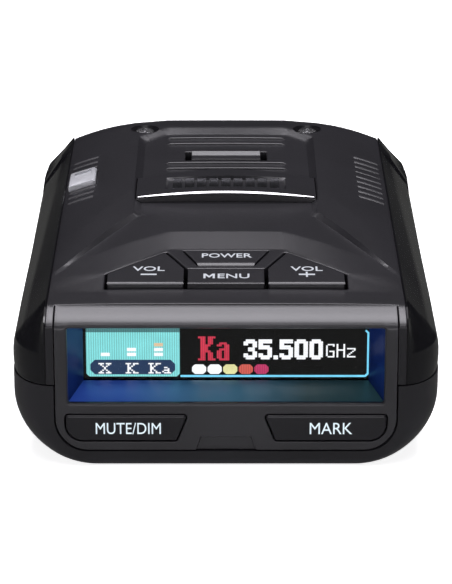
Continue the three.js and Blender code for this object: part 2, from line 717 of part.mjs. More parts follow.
function releaseButton() {
  const { halfWidth, frontY, backY, topZ } = RELEASE;
  const whole = union(
    box(-halfWidth, halfWidth, frontY, backY, 27.5, topZ),
    box(-8.6, 8.6, frontY - 0.9, backY + 0.9, 27.3, 27.9),
    box(-2, 2, 27, 29.6, SOCKET.highZ - SOCKET.wall + 0.5, 27.6),
  );
  return cut(whole, frontBevel(frontY, topZ, 1));
}

// A socket body whose face follows the lower case's side wall, slightly sunk in it.
function sideSocket(y0, y1, hole) {
  const { backX, lowZ, highZ } = PORTS;
  const body = solid(box(-45, backX, y0, y1, lowZ, highZ));
  return body.intersect(solid(lowerBody([2.4, 4, 6.5, 10, SEAM_Z], 0.5))).subtract(solid(hole));
}

// ---- The assembly -------------------------------------------------------------------------------

add('top_case', topCase(), CASE_PLASTIC);
add('bottom_case', bottomCase(), CASE_PLASTIC);
add('front_bezel', frontBezel(), BEZEL_PLASTIC);
add('side_trim_left', sideTrim(-1), GLOSS_PLASTIC);
add('side_trim_right', sideTrim(1), GLOSS_PLASTIC);

add('display_surround', displaySurround(), GLOSS_PLASTIC);
add('display_window', box(-27.6, 27.6, -49.1, -48.4, 11.3, 26.1), CLEAR_PLASTIC);
add('oled_panel', box(-26, 26, -48.1, -46.6, 12.6, 25.9), DISPLAY_GLASS);
add('display_board', box(-26.5, 26.5, -45.2, -45.2 + BOARD, 3.4, 25.4), BOARD_GREEN);

for (const [name, outline] of Object.entries(TOP_KEY_OUTLINES)) {
  const [x, y] = centreOf(outline);
  add(`${name}_button`, topKey(outline), CASE_PLASTIC);
  add(`switch_${name}`, tactileSwitch(x, y, 21.5), STEEL);
}
for (const [name, outline] of [['mute_dim', mirrored(MARK_OUTLINE)], ['mark', MARK_OUTLINE]]) {
  add(`${name}_button`, frontKey(outline), BEZEL_PLASTIC);
  add(`switch_${name}`, frontSwitch(centreOf(outline)[0]), STEEL);
}
add('key_membrane', box(-22, 22, -42.6, -24.6, 22.6, 23.2), RUBBER);
add('key_board', box(-23, 23, -43, -24, 20.2, 20.2 + BOARD), BOARD_GREEN);

add('badge_plate', badgePlate(), CASE_PLASTIC);
add('badge_chrome_strip', chromeStrip(), CHROME);
add('badge_emblem', emblem(), CHROME);

add('mount_release_button', releaseButton(), CASE_PLASTIC);
add('release_spring', coilSpring(0, 28.3, SOCKET.highZ + 0.1, 27.2), STEEL);
add('mount_socket', mountSocket(), CASE_PLASTIC);

const { x0: PIPE_LEFT, x1: PIPE_RIGHT, y0: PIPE_FRONT, y1: PIPE_BACK } = LIGHT_PIPE;
const PIPE_OUTLINE = [[PIPE_LEFT, 25.6], [PIPE_RIGHT, 25.6], [PIPE_RIGHT, 30.1], [PIPE_LEFT, 28.2]];
add('sensor_light_pipe', prismY(PIPE_OUTLINE, PIPE_FRONT, PIPE_BACK), MILKY_PLASTIC);
for (const [name, side] of [['left', -1], ['right', 1]]) {
  add(`case_screw_top_${name}`, screw(side * TOP_SCREW.x, TOP_SCREW.y, 30.7, true), STEEL);
}
BOTTOM_SCREWS.forEach(([x, y], i) => {
  add(`case_screw_bottom_${i + 1}`, screw(x, y, 0.1, false), STEEL);
});

add('antenna_window', antennaWindow(), GLOSS_PLASTIC);
add('antenna_horn', hornShell(), BRASS);
const LENS = new THREE.SphereGeometry(4.4, 14, 10).scale(1, 0.45, 1).translate(20.4, 48.5, 9.2);
add('laser_lens', LENS, CLEAR_PLASTIC);
add('laser_sensor', box(18.4, 22.4, 36, 38.5, 7, 11.4), CHIP);
const SHIELD = cut(solid(box(-11, 11, 5, 23.6, 5.5, 13.6)), box(-10.4, 10.4, 5.6, 23, 6.1, 14));
add('rf_shield', SHIELD, STEEL);

add('main_board', box(-26, 26, -40, 18, 14, 14 + BOARD), BOARD_GREEN);
add('processor', box(-6, 6, -20, -8, 15.4, 16.6), CHIP);
add('gps_antenna', box(-24, -6, -6, 12, 15.4, 19.4), CERAMIC);
add('display_ribbon', prismX(ribbonProfile(), -7, 7), FILM);

const SPEAKER = { x: 21.4, y: 16 };
add('speaker_frame', cut(
  solid(prismZ(stadium(SPEAKER.x, SPEAKER.y, 6.9, 13), 20.6, 24.6)),
  prismZ(stadium(SPEAKER.x, SPEAKER.y, 6, 12.1), 21.4, 25),
  discZ(SPEAKER.x, SPEAKER.y, 3.4, 20, 22),
), STEEL);
add('speaker_cone', prismZ(stadium(SPEAKER.x, SPEAKER.y, 5.7, 11.8), 23, 23.6), RUBBER);
add('speaker_magnet', discZ(SPEAKER.x, SPEAKER.y, 4.6, 16.2, 20.4), STEEL);

add('power_jack', sideSocket(29.5, 40, box(-40, -25, 30.7, 38.8, 5.6, 11.4)), CHIP);
add('usb_socket', sideSocket(19.4, 29.2, box(-40, -27, 20.6, 28, 7, 10)), STEEL);
const EAR_HOLE = discZ(0, 0, 1.8, 0, 14).rotateY(-Math.PI / 2).translate(-26, 14.6, 8.5);
add('earphone_jack', sideSocket(10.2, 19.1, EAR_HOLE), CHIP);
add('rating_plate', box(-PLATE.x, PLATE.x, PLATE.y0, PLATE.y1, 0.1, PLATE.depth - 0.1), LABEL);

export default group;
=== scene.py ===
"""Looks of a windshield radar detector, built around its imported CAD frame.

Shapes are written in millimetres (+X driver's right, +Y to the windshield, +Z up) and turned into
metres when a mesh is made.
"""

import math
import re

import bpy
import numpy as np
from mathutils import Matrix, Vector
from mathutils.geometry import delaunay_2d_cdt


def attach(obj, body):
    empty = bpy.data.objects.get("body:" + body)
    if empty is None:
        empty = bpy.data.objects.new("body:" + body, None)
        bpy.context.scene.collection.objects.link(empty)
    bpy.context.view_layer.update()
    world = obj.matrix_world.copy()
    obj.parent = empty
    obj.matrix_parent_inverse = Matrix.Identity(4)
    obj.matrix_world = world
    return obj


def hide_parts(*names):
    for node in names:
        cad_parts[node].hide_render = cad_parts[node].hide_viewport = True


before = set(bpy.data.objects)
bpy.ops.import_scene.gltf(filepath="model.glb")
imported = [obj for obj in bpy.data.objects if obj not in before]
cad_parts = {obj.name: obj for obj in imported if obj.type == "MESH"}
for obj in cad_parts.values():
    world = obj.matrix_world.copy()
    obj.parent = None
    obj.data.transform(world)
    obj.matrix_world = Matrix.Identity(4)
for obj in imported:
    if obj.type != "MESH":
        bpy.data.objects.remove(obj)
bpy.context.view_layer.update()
MM = 0.001

# ---- Driving dimensions ----

HALF_WIDTH = 37.0
FRONT_Y = -55.3
SEAM_Y = -50.0  # where the upper case meets the bezel
SEAM_Z = 15.0  # where the two halves of the case meet
GAP = 0.2  # between neighbouring pieces
BEZEL_TOP_Z = 27.9
BEZEL_HALF = 29.3
CASE_HALF = 30.8
CHEEK = (29.45, -55.1)  # inner half width and front of the case's ends beside the bezel
TRIM_HALF = 31.0  # half width at which the side trims begin
TRAY_HALF = 16.0
TRAY_Z = 30.25
DECK_Z = 31.0
EDGE_Z = 27.75  # the upper case along its sides
KEY_Z = 29.1
BADGE_HALF = 16.9
TOP_SCREW = (16.35, 44.2)
SCREW_WELL = 2.85  # radius of the recess round a top screw
UNDER_SCREWS = [(x, y) for y in (-36, 38) for x in (-17.5, 17.5)]
WINDOW = (27.1, 11.8, 25.7)  # half width, low, high at the bezel
WINDOW_BACK = (24.6, 13.8, 25.3)  # the same at the display

# ---- Materials ----


def node_material(name):
    made = bpy.data.materials.new(name)
    made.use_nodes = True
    tree = made.node_tree
    shader = tree.nodes["Principled BSDF"]
    return made, tree, shader


def set_shader(made, values):
    """Settings of a material's shader, by the names of its inputs."""
    shader = made.node_tree.nodes["Principled BSDF"]
    for label, value in values.items():
        shader.inputs[label].default_value = value


def coordinate(tree, kind, axis):
    """One axis of the Object or Generated coordinates; Object is in metres."""
    split = tree.nodes.new("ShaderNodeSeparateXYZ")
    tree.links.new(tree.nodes.new("ShaderNodeTexCoord").outputs[kind], split.inputs[0])
    return split.outputs[axis]


def noise(tree, scale, detail=3.0):
    made = tree.nodes.new("ShaderNodeTexNoise")
    made.inputs["Scale"].default_value = scale
    made.inputs["Detail"].default_value = detail
    tree.links.new(tree.nodes.new("ShaderNodeTexCoord").outputs["Object"], made.inputs["Vector"])
    return made.outputs["Fac"]


def mapped(tree, factor, start, end, low=0.0, high=1.0):
    """A value from start..end stretched to low..high and held there."""
    made = tree.nodes.new("ShaderNodeMapRange")
    ends = {"From Min": start, "From Max": end, "To Min": low, "To Max": high}
    for label, value in ends.items():
        made.inputs[label].default_value = value
    tree.links.new(factor, made.inputs["Value"])
    return made.outputs["Result"]


def spread(tree, factor, low, high):
    """A noise value, about 0.5 in the middle, stretched to low..high."""
    return mapped(tree, factor, 0.3, 0.7, low, high)


MIX_FACTOR, MIX_FIRST, MIX_SECOND, MIX_RESULT = 0, 6, 7, 2  # sockets of a mix of two colours


def blended(tree, factor, first, second):
    made = tree.nodes.new("ShaderNodeMix")
    made.data_type = "RGBA"
    made.inputs[MIX_FIRST].default_value = (*first, 1)
    made.inputs[MIX_SECOND].default_value = (*second, 1)
    tree.links.new(factor, made.inputs[MIX_FACTOR])
    return made.outputs[MIX_RESULT]


def bumped(tree, shader, height, depth):
    """Fine unevenness of the surface, depth metres at most."""
    made = tree.nodes.new("ShaderNodeBump")
    made.inputs["Strength"].default_value = 0.6
    made.inputs["Distance"].default_value = depth
    tree.links.new(height, made.inputs["Height"])
    tree.links.new(made.outputs["Normal"], shader.inputs["Normal"])


def moulded_finish(name, colour, roughness, grain, grain_depth, metallic=0.0, vary=0.12):
    """Moulded plastic, rubber or metal: slow colour and gloss variation and a fine grain."""
    made, tree, shader = node_material(name)
    slow = noise(tree, 60.0)
    fine = noise(tree, grain, 2.0)
    dark = [c * (1 - vary) for c in colour]
    light = [c * (1 + vary) for c in colour]
    mixed = blended(tree, spread(tree, slow, 0, 1), dark, light)
    tree.links.new(mixed, shader.inputs["Base Color"])
    gloss = spread(tree, fine, roughness * 0.92, min(1.0, roughness * 1.08))
    tree.links.new(gloss, shader.inputs["Roughness"])
    set_shader(made, {"Metallic": metallic})
    bumped(tree, shader, fine, grain_depth)
    return made


def glowing_finish(name, colour, strength, stripe=0.0):
    """A lit surface. A stripe pitch in metres darkens every other column a little."""
    made, tree, shader = node_material(name)
    set_shader(made, {
        "Base Color": (0.01, 0.01, 0.01, 1), "Roughness": 0.4, "Emission Strength": strength,
    })
    if stripe:
        turn = tree.nodes.new("ShaderNodeMath")
        turn.operation = "MULTIPLY"
        turn.inputs[1].default_value = 2 * math.pi / stripe
        tree.links.new(coordinate(tree, "Object", "X"), turn.inputs[0])
        wave = tree.nodes.new("ShaderNodeMath")
        wave.operation = "SINE"
        tree.links.new(turn.outputs[0], wave.inputs[0])
        factor = mapped(tree, wave.outputs[0], -1, 1)
        depth = 0.62
    else:
        factor = spread(tree, noise(tree, 900.0), 0, 1)
        depth = 0.9
    mixed = blended(tree, factor, [c * depth for c in colour], colour)
    tree.links.new(mixed, shader.inputs["Emission Color"])
    return made


def clear_finish(name, tint, roughness, body=0.0):
    """Clear or milky plastic; body is how much it scatters instead of letting light through."""
    made, tree, shader = node_material(name)
    cloud = noise(tree, 300.0)
    mixed = blended(tree, spread(tree, cloud, 0, 1), [c * 0.9 for c in tint], tint)
    tree.links.new(mixed, shader.inputs["Base Color"])
    set_shader(made, {"Roughness": roughness, "Transmission Weight": 1 - body, "IOR": 1.49})
    bumped(tree, shader, cloud, 0.000004)
    return made


def painted_glow_floor_finish():
    """Glossy dark plastic with the display's glow painted in: blue on the left, teal in the middle and
    nearly black on the right.
    """
    blue, teal, dark = (0.04, 0.12, 0.62), (0.10, 0.31, 0.46), (0.03, 0.09, 0.10)
    made = moulded_finish("recess_floor_painted_glow", blue, 0.32, 900.0, 0.000003)
    set_shader(made, {"Specular IOR Level": 1.0})
    tree = made.node_tree
    x = coordinate(tree, "Object", "X")
    # Painted display glow: blue to teal, then teal to nearly black, across X.
    left = blended(tree, mapped(tree, x, -0.018, -0.004), blue, teal)
    whole = blended(tree, mapped(tree, x, 0.0, 0.014), teal, dark)
    tree.links.new(left, whole.node.inputs[MIX_FIRST])
    tree.links.new(whole, tree.nodes["Principled BSDF"].inputs["Base Color"])
    return made


CASE = moulded_finish("case_plastic", (0.0135, 0.013, 0.0155), 0.31, 2600.0, 0.000010)
BEZEL = moulded_finish("bezel_plastic", (0.026, 0.0255, 0.0285), 0.34, 3200.0, 0.000007)
KEY = moulded_finish("key_plastic", (0.013, 0.0125, 0.015), 0.32, 2600.0, 0.000009)
GLOSS = moulded_finish("gloss_plastic", (0.006, 0.006, 0.007), 0.10, 500.0, 0.000002)
# Recess walls: dark plastic with the display's blue glow painted into the colour and into the reflection
# tint.
PAINTED_GLOW_WALLS = moulded_finish("recess_plastic_painted_glow", (0.006, 0.020, 0.11), 0.3, 900.0, 0.000003)
set_shader(PAINTED_GLOW_WALLS, {"Specular Tint": (0.45, 0.65, 1.0, 1), "Specular IOR Level": 0.25})
# The recess floor carries the display's glow painted into its colour.
PAINTED_GLOW_RECESS_FLOOR = painted_glow_floor_finish()
CHROME = moulded_finish("chrome", (0.48, 0.48, 0.49), 0.14, 700.0, 0.000002, 1.0, 0.03)
SCREW_STEEL = moulded_finish("screw_steel", (0.85, 0.85, 0.86), 0.22, 800.0, 0.000002, 1.0, 0.05)
DULL_CHROME = moulded_finish("dull_chrome", (0.26, 0.26, 0.28), 0.20, 900.0, 0.000006, 1.0, 0.1)
STEEL = moulded_finish("steel", (0.62, 0.63, 0.65), 0.32, 1500.0, 0.000008, 1.0, 0.1)
BRASS = moulded_finish("brass", (0.62, 0.46, 0.18), 0.33, 1500.0, 0.000008, 1.0, 0.1)
BOARD = moulded_finish("board", (0.010, 0.060, 0.025), 0.42, 1200.0, 0.00001)
RUBBER = moulded_finish("rubber", (0.030, 0.030, 0.032), 0.75, 1800.0, 0.00003)
CHIP = moulded_finish("chip", (0.012, 0.012, 0.013), 0.5, 2200.0, 0.000012)
CERAMIC = moulded_finish("ceramic", (0.62, 0.56, 0.42), 0.55, 1800.0, 0.00001)
FILM = moulded_finish("film", (0.45, 0.20, 0.03), 0.35, 800.0, 0.000004)
LABEL = moulded_finish("label", (0.16, 0.165, 0.175), 0.45, 1800.0, 0.00001)
GLASS = moulded_finish("display_glass", (0.004, 0.004, 0.006), 0.16, 900.0, 0.000001)
set_shader(GLASS, {"Specular IOR Level": 0.2})
CLEAR = clear_finish("clear_plastic", (0.95, 0.97, 1.0), 0.03)
MILKY = clear_finish("milky_plastic", (0.80, 0.81, 0.84), 0.16, 0.55)
# Print on the top keys, given a glow of its own: painted light on the ink.
PAINTED_GLOW_INK = glowing_finish("legend_ink_painted_glow", (0.80, 0.83, 0.92), 0.85)
BACKLIT = glowing_finish("backlit_legend", (0.80, 0.93, 1.0), 1.05)

NODE_FINISH = {
    "display_board": BOARD, "key_board": BOARD, "main_board": BOARD, "key_membrane": RUBBER,
    "release_spring": STEEL, "mount_socket": RUBBER, "antenna_horn": BRASS,
    "laser_lens": CLEAR, "laser_sensor": CHIP, "rf_shield": STEEL, "processor": CHIP,
    "gps_antenna": CERAMIC, "display_ribbon": FILM, "speaker_frame": STEEL,
    "speaker_cone": RUBBER, "speaker_magnet": STEEL, "display_window": CLEAR,
    "oled_panel": GLASS,
}
for node_name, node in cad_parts.items():
    if node_name.startswith("switch_"):
        NODE_FINISH[node_name] = STEEL
    node.data.materials.clear()
    node.data.materials.append(NODE_FINISH.get(node_name, CASE))


# ---- Mesh tools ----


def new_object(name, data):
    made = bpy.data.objects.new(name, data)
    bpy.context.scene.collection.objects.link(made)
    return made


def mesh_object(name, points, faces, finish, sharp=32.0):
    """An object from points in millimetres; edges sharper than the angle aren't smoothed."""
    mesh = bpy.data.meshes.new(name)
    mesh.from_pydata((np.asarray(points, float) * MM).tolist(), [], faces)
    mesh.validate()
    made = new_object(name, mesh)
    finish_mesh(made, finish, sharp)
    return made


def finish_mesh(made, finish, sharp=32.0):
    mesh = made.data
    mesh.materials.clear()
    mesh.materials.append(finish)
    mesh.shade_smooth()
    mesh.set_sharp_from_angle(angle=math.radians(sharp))


def stretches(line, closed=True):
    """Both ends of each straight stretch of a line of corners."""
    corners = np.asarray(line, float)
    return zip(corners, np.roll(corners, -1, axis=0) if closed else corners[1:])


def inside(points, loop):
    """Which of the points lie inside a closed loop."""
    x, y = points[:, 0], points[:, 1]
    hit = np.zeros(len(points), bool)
    for (x0, y0), (x1, y1) in stretches(loop):
        if y0 == y1:
            continue
        crosses = (y0 > y) != (y1 > y)
        hit ^= crosses & (x < x0 + (y - y0) * (x1 - x0) / (y1 - y0))
    return hit


def gap_to(points, line, closed=True):
    """Distance of each point to a line of corners."""
    best = np.full(len(points), np.inf)
    for start, end in stretches(line, closed):
        run = end - start
        square = run @ run
        if square == 0:
            continue
        share = np.clip(((points - start) @ run) / square, 0, 1)
        off = points - start - share[:, None] * run
        best = np.minimum(best, np.hypot(off[:, 0], off[:, 1]))
    return best


def offset(loop, distance):
    """A closed loop moved to its inner side (or outwards, where distance is negative)."""
    corners = np.asarray(loop, float)
    x, y = corners.T
    if np.sum(x * np.roll(y, -1) - np.roll(x, -1) * y) < 0:
        corners = corners[::-1]
    before = corners - np.roll(corners, 1, axis=0)
    after = np.roll(corners, -1, axis=0) - corners
    before /= np.linalg.norm(before, axis=1)[:, None]
    after /= np.linalg.norm(after, axis=1)[:, None]
    inward_before = np.stack([-before[:, 1], before[:, 0]], 1)
    inward_after = np.stack([-after[:, 1], after[:, 0]], 1)
    share = np.maximum(0.35, 1 + np.sum(inward_before * inward_after, axis=1))
    return corners + distance * (inward_before + inward_after) / share[:, None]


def divided(line, step, closed=True):
    """The line with no stretch longer than step."""
    out = []
    for start, end in stretches(line, closed):
        count = max(1, math.ceil(np.linalg.norm(end - start) / step))
        out.extend(start + (end - start) * (i / count) for i in range(count))
    if not closed:
        out.append(line[-1])
    return np.array(out)


def rounded(loop, radius, steps=5):
    """A closed loop with its corners turned into arcs."""
    corners = [np.array(p, float) for p in loop]
    out = []
    for i, corner in enumerate(corners):
        back = corners[i - 1] - corner
        ahead = corners[(i + 1) % len(corners)] - corner
        room = 0.45 * min(np.linalg.norm(back), np.linalg.norm(ahead))
        back /= np.linalg.norm(back)
        ahead /= np.linalg.norm(ahead)
        bend = math.acos(np.clip(back @ ahead, -1, 1))
        if bend > math.pi - 0.02:
            out.append(corner)
            continue
        reach = min(radius / math.tan(bend / 2), room)
        arc = reach * math.tan(bend / 2)
        centre = corner + (back + ahead) / np.linalg.norm(back + ahead) * (arc / math.sin(bend / 2))
        start = math.atan2(*(corner + back * reach - centre)[::-1])
        end = math.atan2(*(corner + ahead * reach - centre)[::-1])
        turn = (end - start + math.pi) % (2 * math.pi) - math.pi
        for k in range(steps + 1):
            a = start + turn * k / steps
            out.append(centre + arc * np.array([math.cos(a), math.sin(a)]))
    return np.array(out)


def flipped(loop):
    """The loop mirrored to the other side of the middle."""
    return [(-x, y) for x, y in reversed(list(loop))]


def box(x0, x1, y0, y1):
    return [(x0, y0), (x1, y0), (x1, y1), (x0, y1)]


def circle(x, y, radius, count=32):
    turns = [2 * math.pi * k / count for k in range(count)]
    return [(x + radius * math.cos(a), y + radius * math.sin(a)) for a in turns]


def set_across(loop, axis, at):
    """A flat loop or set of points placed across an axis ("x", "y" or "z") at one spot on it."""
    return np.insert(np.asarray(loop, float), "xyz".index(axis), at, axis=1)


def level(height):
    """A flat back for a sheet that lies on the xy plane."""
    return lambda points: set_across(points, "z", height)


EDGE_ANGLES = (20, 42, 65, 90)  # where a rounded edge gets its rows of points, in degrees


def sheet(name, outline, front, back, finish, holes=(), spacing=0.8, edge=0.3, lines=(), sharp=32.0):
    """A closed moulding with a front and a back surface over one outline with holes.

    front(points, drop) and back(points) give places in space; drop is how far the rounded edge
    along the outline and the holes falls below the surface. holes holds (loop, edge radius) pairs.
    """
    loops = [(divided(outline, spacing), edge, 1)]
    loops += [(divided(loop, spacing), radius, -1) for loop, radius in holes]
    points, edges = [], []

    def add(line, closed=True):
        start, count = len(points), len(line)
        points.extend(map(tuple, line))
        last = count if closed else count - 1
        edges.extend((start + i, start + (i + 1) % count) for i in range(last))

    for loop, radius, side in loops:
        add(loop)
        for angle in EDGE_ANGLES:
            add(offset(loop, side * radius * (1 - math.cos(math.radians(angle)))))
    for line in lines:
        add(divided(line, spacing, False), False)

    def edge_gap(where):
        drop = np.zeros(len(where))
        near = np.full(len(where), np.inf)
        for loop, radius, _ in loops:
            gap = gap_to(where, loop)
            near = np.minimum(near, gap - radius)
            share = np.clip(1 - gap / radius, 0, 1)
            drop = np.maximum(drop, radius * (1 - np.sqrt(1 - share**2)))
        return drop, near

    # A square grid fills the sheet, but keeps clear of the edges and the lines.
    low, high = np.min(outline, axis=0), np.max(outline, axis=0)
    xs = np.arange(low[0] + spacing / 2, high[0], spacing)
    ys = np.arange(low[1] + spacing / 2, high[1], spacing)
    grid = np.stack(np.meshgrid(xs, ys), -1).reshape(-1, 2)
    grid = grid[inside(grid, outline)]
    clear = edge_gap(grid)[1] > spacing * 0.35
    for line in lines:
        clear &= gap_to(grid, line, False) > spacing * 0.3
    points.extend(map(tuple, grid[clear]))

    corners, _, triangles, *_ = delaunay_2d_cdt([Vector(p) for p in points], edges, [], 0, 1e-5)
    flat = np.array([tuple(v) for v in corners])
    tris = np.array(triangles)
    middle = flat[tris].mean(axis=1)
    keep = inside(middle, outline)
    for loop, _ in holes:
        keep &= ~inside(middle, loop)
    tris = tris[keep]
    used = np.unique(tris)
    renumber = np.zeros(len(flat), int)
    renumber[used] = np.arange(len(used))
    tris, flat = renumber[tris], flat[used]
    drop = edge_gap(flat)[0]
    top, bottom = front(flat, drop), back(flat)
    corner = top[tris]
    turn = np.cross(corner[:, 1] - corner[:, 0], corner[:, 2] - corner[:, 0]).sum(axis=0)
    facing = (top - bottom).mean(axis=0)
    if turn @ facing < 0:
        tris = tris[:, ::-1]
    count = len(flat)
    tris = tris.tolist()
    faces = tris + [[count + i for i in t[::-1]] for t in tris]
    sides = {(a, b) for t in tris for a, b in ((t[0], t[1]), (t[1], t[2]), (t[2], t[0]))}
    faces += [(b, a, a + count, b + count) for a, b in sides if (b, a) not in sides]
    return mesh_object(name, np.vstack([top, bottom]), faces, finish, sharp)


def loft(name, rings, finish, sharp=32.0):
    """A skin through rings of equal point counts, closed at both ends."""
    count = len(rings[0])
    points = np.vstack(rings)
    faces = []
    for r in range(len(rings) - 1):
        for i in range(count):
            a, b = r * count + i, r * count + (i + 1) % count
            faces.append((a, b, b + count, a + count))
    faces.append(tuple(range(count))[::-1])
    faces.append(tuple(range(len(points) - count, len(points))))
    corners = [(f[0], f[k], f[k + 1]) for f in faces for k in range(1, len(f) - 1)]
    volume = sum(points[a] @ np.cross(points[b], points[c]) for a, b, c in corners)
    if volume < 0:
        faces = [f[::-1] for f in faces]
    return mesh_object(name, points, faces, finish, sharp)


def prism(name, outline, axis, start, end, finish, sharp=32.0):
    """An outline run along an axis: (x, y) along z, (x, z) along y, or (y, z) along x."""
    return loft(name, [set_across(outline, axis, at) for at in (start, end)], finish, sharp)


def brick(name, x0, x1, y0, y1, z0, z1, finish):
    return prism(name, box(x0, x1, y0, y1), "z", z0, z1, finish)


def bevelled(made, width, angle=30.0):
    """Edges that are sharper than the angle, turned into a narrow rounded band."""
    step = made.modifiers.new("bevel", "BEVEL")
    step.width = width * MM
    step.segments = 2
    step.limit_method = "ANGLE"
    step.angle_limit = math.radians(angle)
    apply_steps(made)


def evaluated_mesh(made):
    graph = bpy.context.evaluated_depsgraph_get()
    return bpy.data.meshes.new_from_object(made.evaluated_get(graph))


def apply_steps(made):
    finish = made.data.materials[0]
    mesh = evaluated_mesh(made)
    made.modifiers.clear()
    made.data = mesh
    finish_mesh(made, finish)


def carved(body, *tools, operation="DIFFERENCE"):
    """The body less the tools, or only what it shares with them. The tools are then thrown away."""
    for tool in tools:
        step = body.modifiers.new("cut", "BOOLEAN")
        step.operation = operation
        step.solver = "MANIFOLD"
        step.object = tool
    apply_steps(body)
    for tool in tools:
        bpy.data.objects.remove(tool)


def joined(name, parts):
    """One object from several, with the finish of the first."""
    points, faces, start = [], [], 0
    for part in parts:
        points.extend(tuple(v.co) for v in part.data.vertices)
        faces.extend(tuple(start + i for i in p.vertices) for p in part.data.polygons)
        start = len(points)
    finish = parts[0].data.materials[0]
    mesh = bpy.data.meshes.new(name)
    mesh.from_pydata(points, [], faces)
    made = new_object(name, mesh)
    finish_mesh(made, finish)
    for part in parts:
        bpy.data.objects.remove(part)
    return made


def stands_for(made, node, body="housing"):
    """The finer piece that takes the place of a CAD node."""
    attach(made, body)
    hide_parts(node)


def trim_piece(made, body="housing"):
    """A piece with no CAD node of its own."""
    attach(made, body)


# ---- The case's surfaces ----


def ramp(value):
    return np.clip(value, 0.0, 1.0)


def nose_drop(y):
    """How far the rounded front edge has fallen at y: a slight slope, then a tight turn down."""
    t = ramp((SEAM_Y - y) / (SEAM_Y - FRONT_Y))
    return 1.45 * t + 1.25 * (1 - np.sqrt(1 - t**5))


def rear_edge(x):
    """The bowed rear edge of the case in plan."""
    return 55.5 - 0.0021192 * x**2 - 3.4254e-6 * x**4


# In the functions below, a is the distance to either side of the middle of the case.


def tray_height(a):
    """The nearly level middle of the top, falling away to the sides."""
    out = ramp((a - TRAY_HALF) / (TRIM_HALF - TRAY_HALF))
    middle = TRAY_Z - 0.2 * ramp(a / TRAY_HALF) ** 2
    return middle - (TRAY_Z - 0.2 - EDGE_Z) * out**1.3


def deck_height(a, y):
    """The raised sides and rear of the top."""
    out = np.maximum(0, (a - 18) / (TRIM_HALF - 18))
    fall = np.maximum(0, (y - 46) / 9.5)
    return DECK_Z - (DECK_Z - EDGE_Z) * out**1.6 - (1.5 + 0.7 * ramp((a - 12) / 8)) * fall**1.4


def front_height(a, y):
    """The part of the top in front of the slope, with the keys."""
    base = BEZEL_TOP_Z + 0.15 + 0.95 * ramp((y + 43.5) / 7)
    return base - (base - EDGE_Z) * (a / TRIM_HALF) ** 4 - nose_drop(y)


SLOPE_HALF = 10.2  # half length of the straight part of the slope behind the keys
REAR_HALF = 11.8  # the same for the slope at the rear of the tray


def slope_foot(a):
    """Where the slope behind the keys starts, straight in the middle and raked forwards beside it."""
    raked = np.where(a <= 22, -24.3 - 1.12 * (a - SLOPE_HALF), -37.5 - 0.6 * (a - 22))
    return np.where(a <= SLOPE_HALF, -24.3, raked)


def deck_foot(a):
    """Where the step up to the raised side decks starts."""
    return -7.2 - 1.9 * (np.maximum(a, TRAY_HALF) - 15.4)


def slope_run(a):
    room = deck_foot(a) - slope_foot(a) - 1.0
    return np.minimum(6.8 + 0.35 * np.maximum(0, a - SLOPE_HALF), np.maximum(room, 3.0))


def deck_run(a):
    return 2.0 - 0.9 * ramp((a - 20) / 8)


def rear_foot(a):
    """Where the rise at the rear of the tray starts."""
    return 42.5 - 1.05 * np.maximum(0, a - REAR_HALF)


def rear_run(a):
    return 3.1 - 0.15 * np.maximum(0, a - REAR_HALF)


def slope_top(a):
    return slope_foot(a) + slope_run(a)


def deck_top(a):
    return deck_foot(a) + deck_run(a)


def rear_top(a):
    return rear_foot(a) + rear_run(a)


RIB_YS = (19.8, 23.4, 36.0, 39.9)
RIB_HALF = 11.45
RIB_REACH = 0.32  # half the width of a rib


def ribs(x, y):
    """Low rounded ridges across the tray."""
    height = np.zeros(len(x))
    ends = ramp((RIB_HALF + 0.3 - np.abs(x)) / 0.6)
    for at in RIB_YS:
        height = np.maximum(height, 0.34 * np.sqrt(ramp(1 - ((y - at) / RIB_REACH) ** 2)) * ends)
    return height


def case_height(points):
    x, y = points[:, 0], points[:, 1]
    a = np.abs(x)
    side = (a - TRAY_HALF) / 1.4
    rear = (y - rear_foot(a)) / rear_run(a)
    front = 0.7 * ramp((y - deck_foot(a)) / deck_run(a)) + 0.3 * ramp((y - deck_top(a)) / 14)
    raised = ramp(np.minimum(np.maximum(side, rear), front))
    upper = tray_height(a) * (1 - raised) + deck_height(a, y) * raised
    blend = ramp((y - slope_foot(a)) / slope_run(a))
    height = front_height(a, y) * (1 - blend) + upper * blend
    for sign in (-1, 1):
        away = np.hypot(x - sign * TOP_SCREW[0], y - TOP_SCREW[1])
        height = height - 1.15 * ramp((SCREW_WELL - away) / 0.35)
    return height


# ---- Upper case ----

VOLUME_UP = [(7.4, -42.4), (20.7, -42.4), (20.7, -36.9), (11, -25.9), (7.4, -34.8)]
MENU = box(-6.7, 6.7, -42.4, -34.7)
POWER = [(-4.8, -32.8), (4.8, -32.8), (7.6, -25), (-7.6, -25)]
KEY_POCKET = [
    (-21.2, -42.6), (21.2, -42.6), (21.2, -36.7), (10.6, -25.4), (6.9, -34.5),
    (-6.9, -34.5), (-10.6, -25.4), (-21.2, -36.7),
]
POWER_POCKET = [(-5, -33), (5, -33), (7.9, -24.8), (-7.9, -24.8)]
PIPE = (-30.4, -25.0, 12.0, 20.4)  # left, right, front and rear of the lens over the slits
SLIT_YS = [29 - 3.1 * i for i in range(9)]
SLIT_ENDS = (25.2, 29.8)
SLIT_LIP = 0.15  # from the middle line of a slit back to its sunk rear edge
SLIT_RUN = 0.42
SLIT_SINK = 0.25


def badge_rear(t):
    return 12.3 + 3.6 * (1 - t * t)


def badge_outline(grow):
    half = BADGE_HALF + grow
    rear = [(t * half, badge_rear(t) + grow) for t in np.linspace(1, -1, 25)]
    return [(-half, -0.5 - grow), (half, -0.5 - grow), *rear]


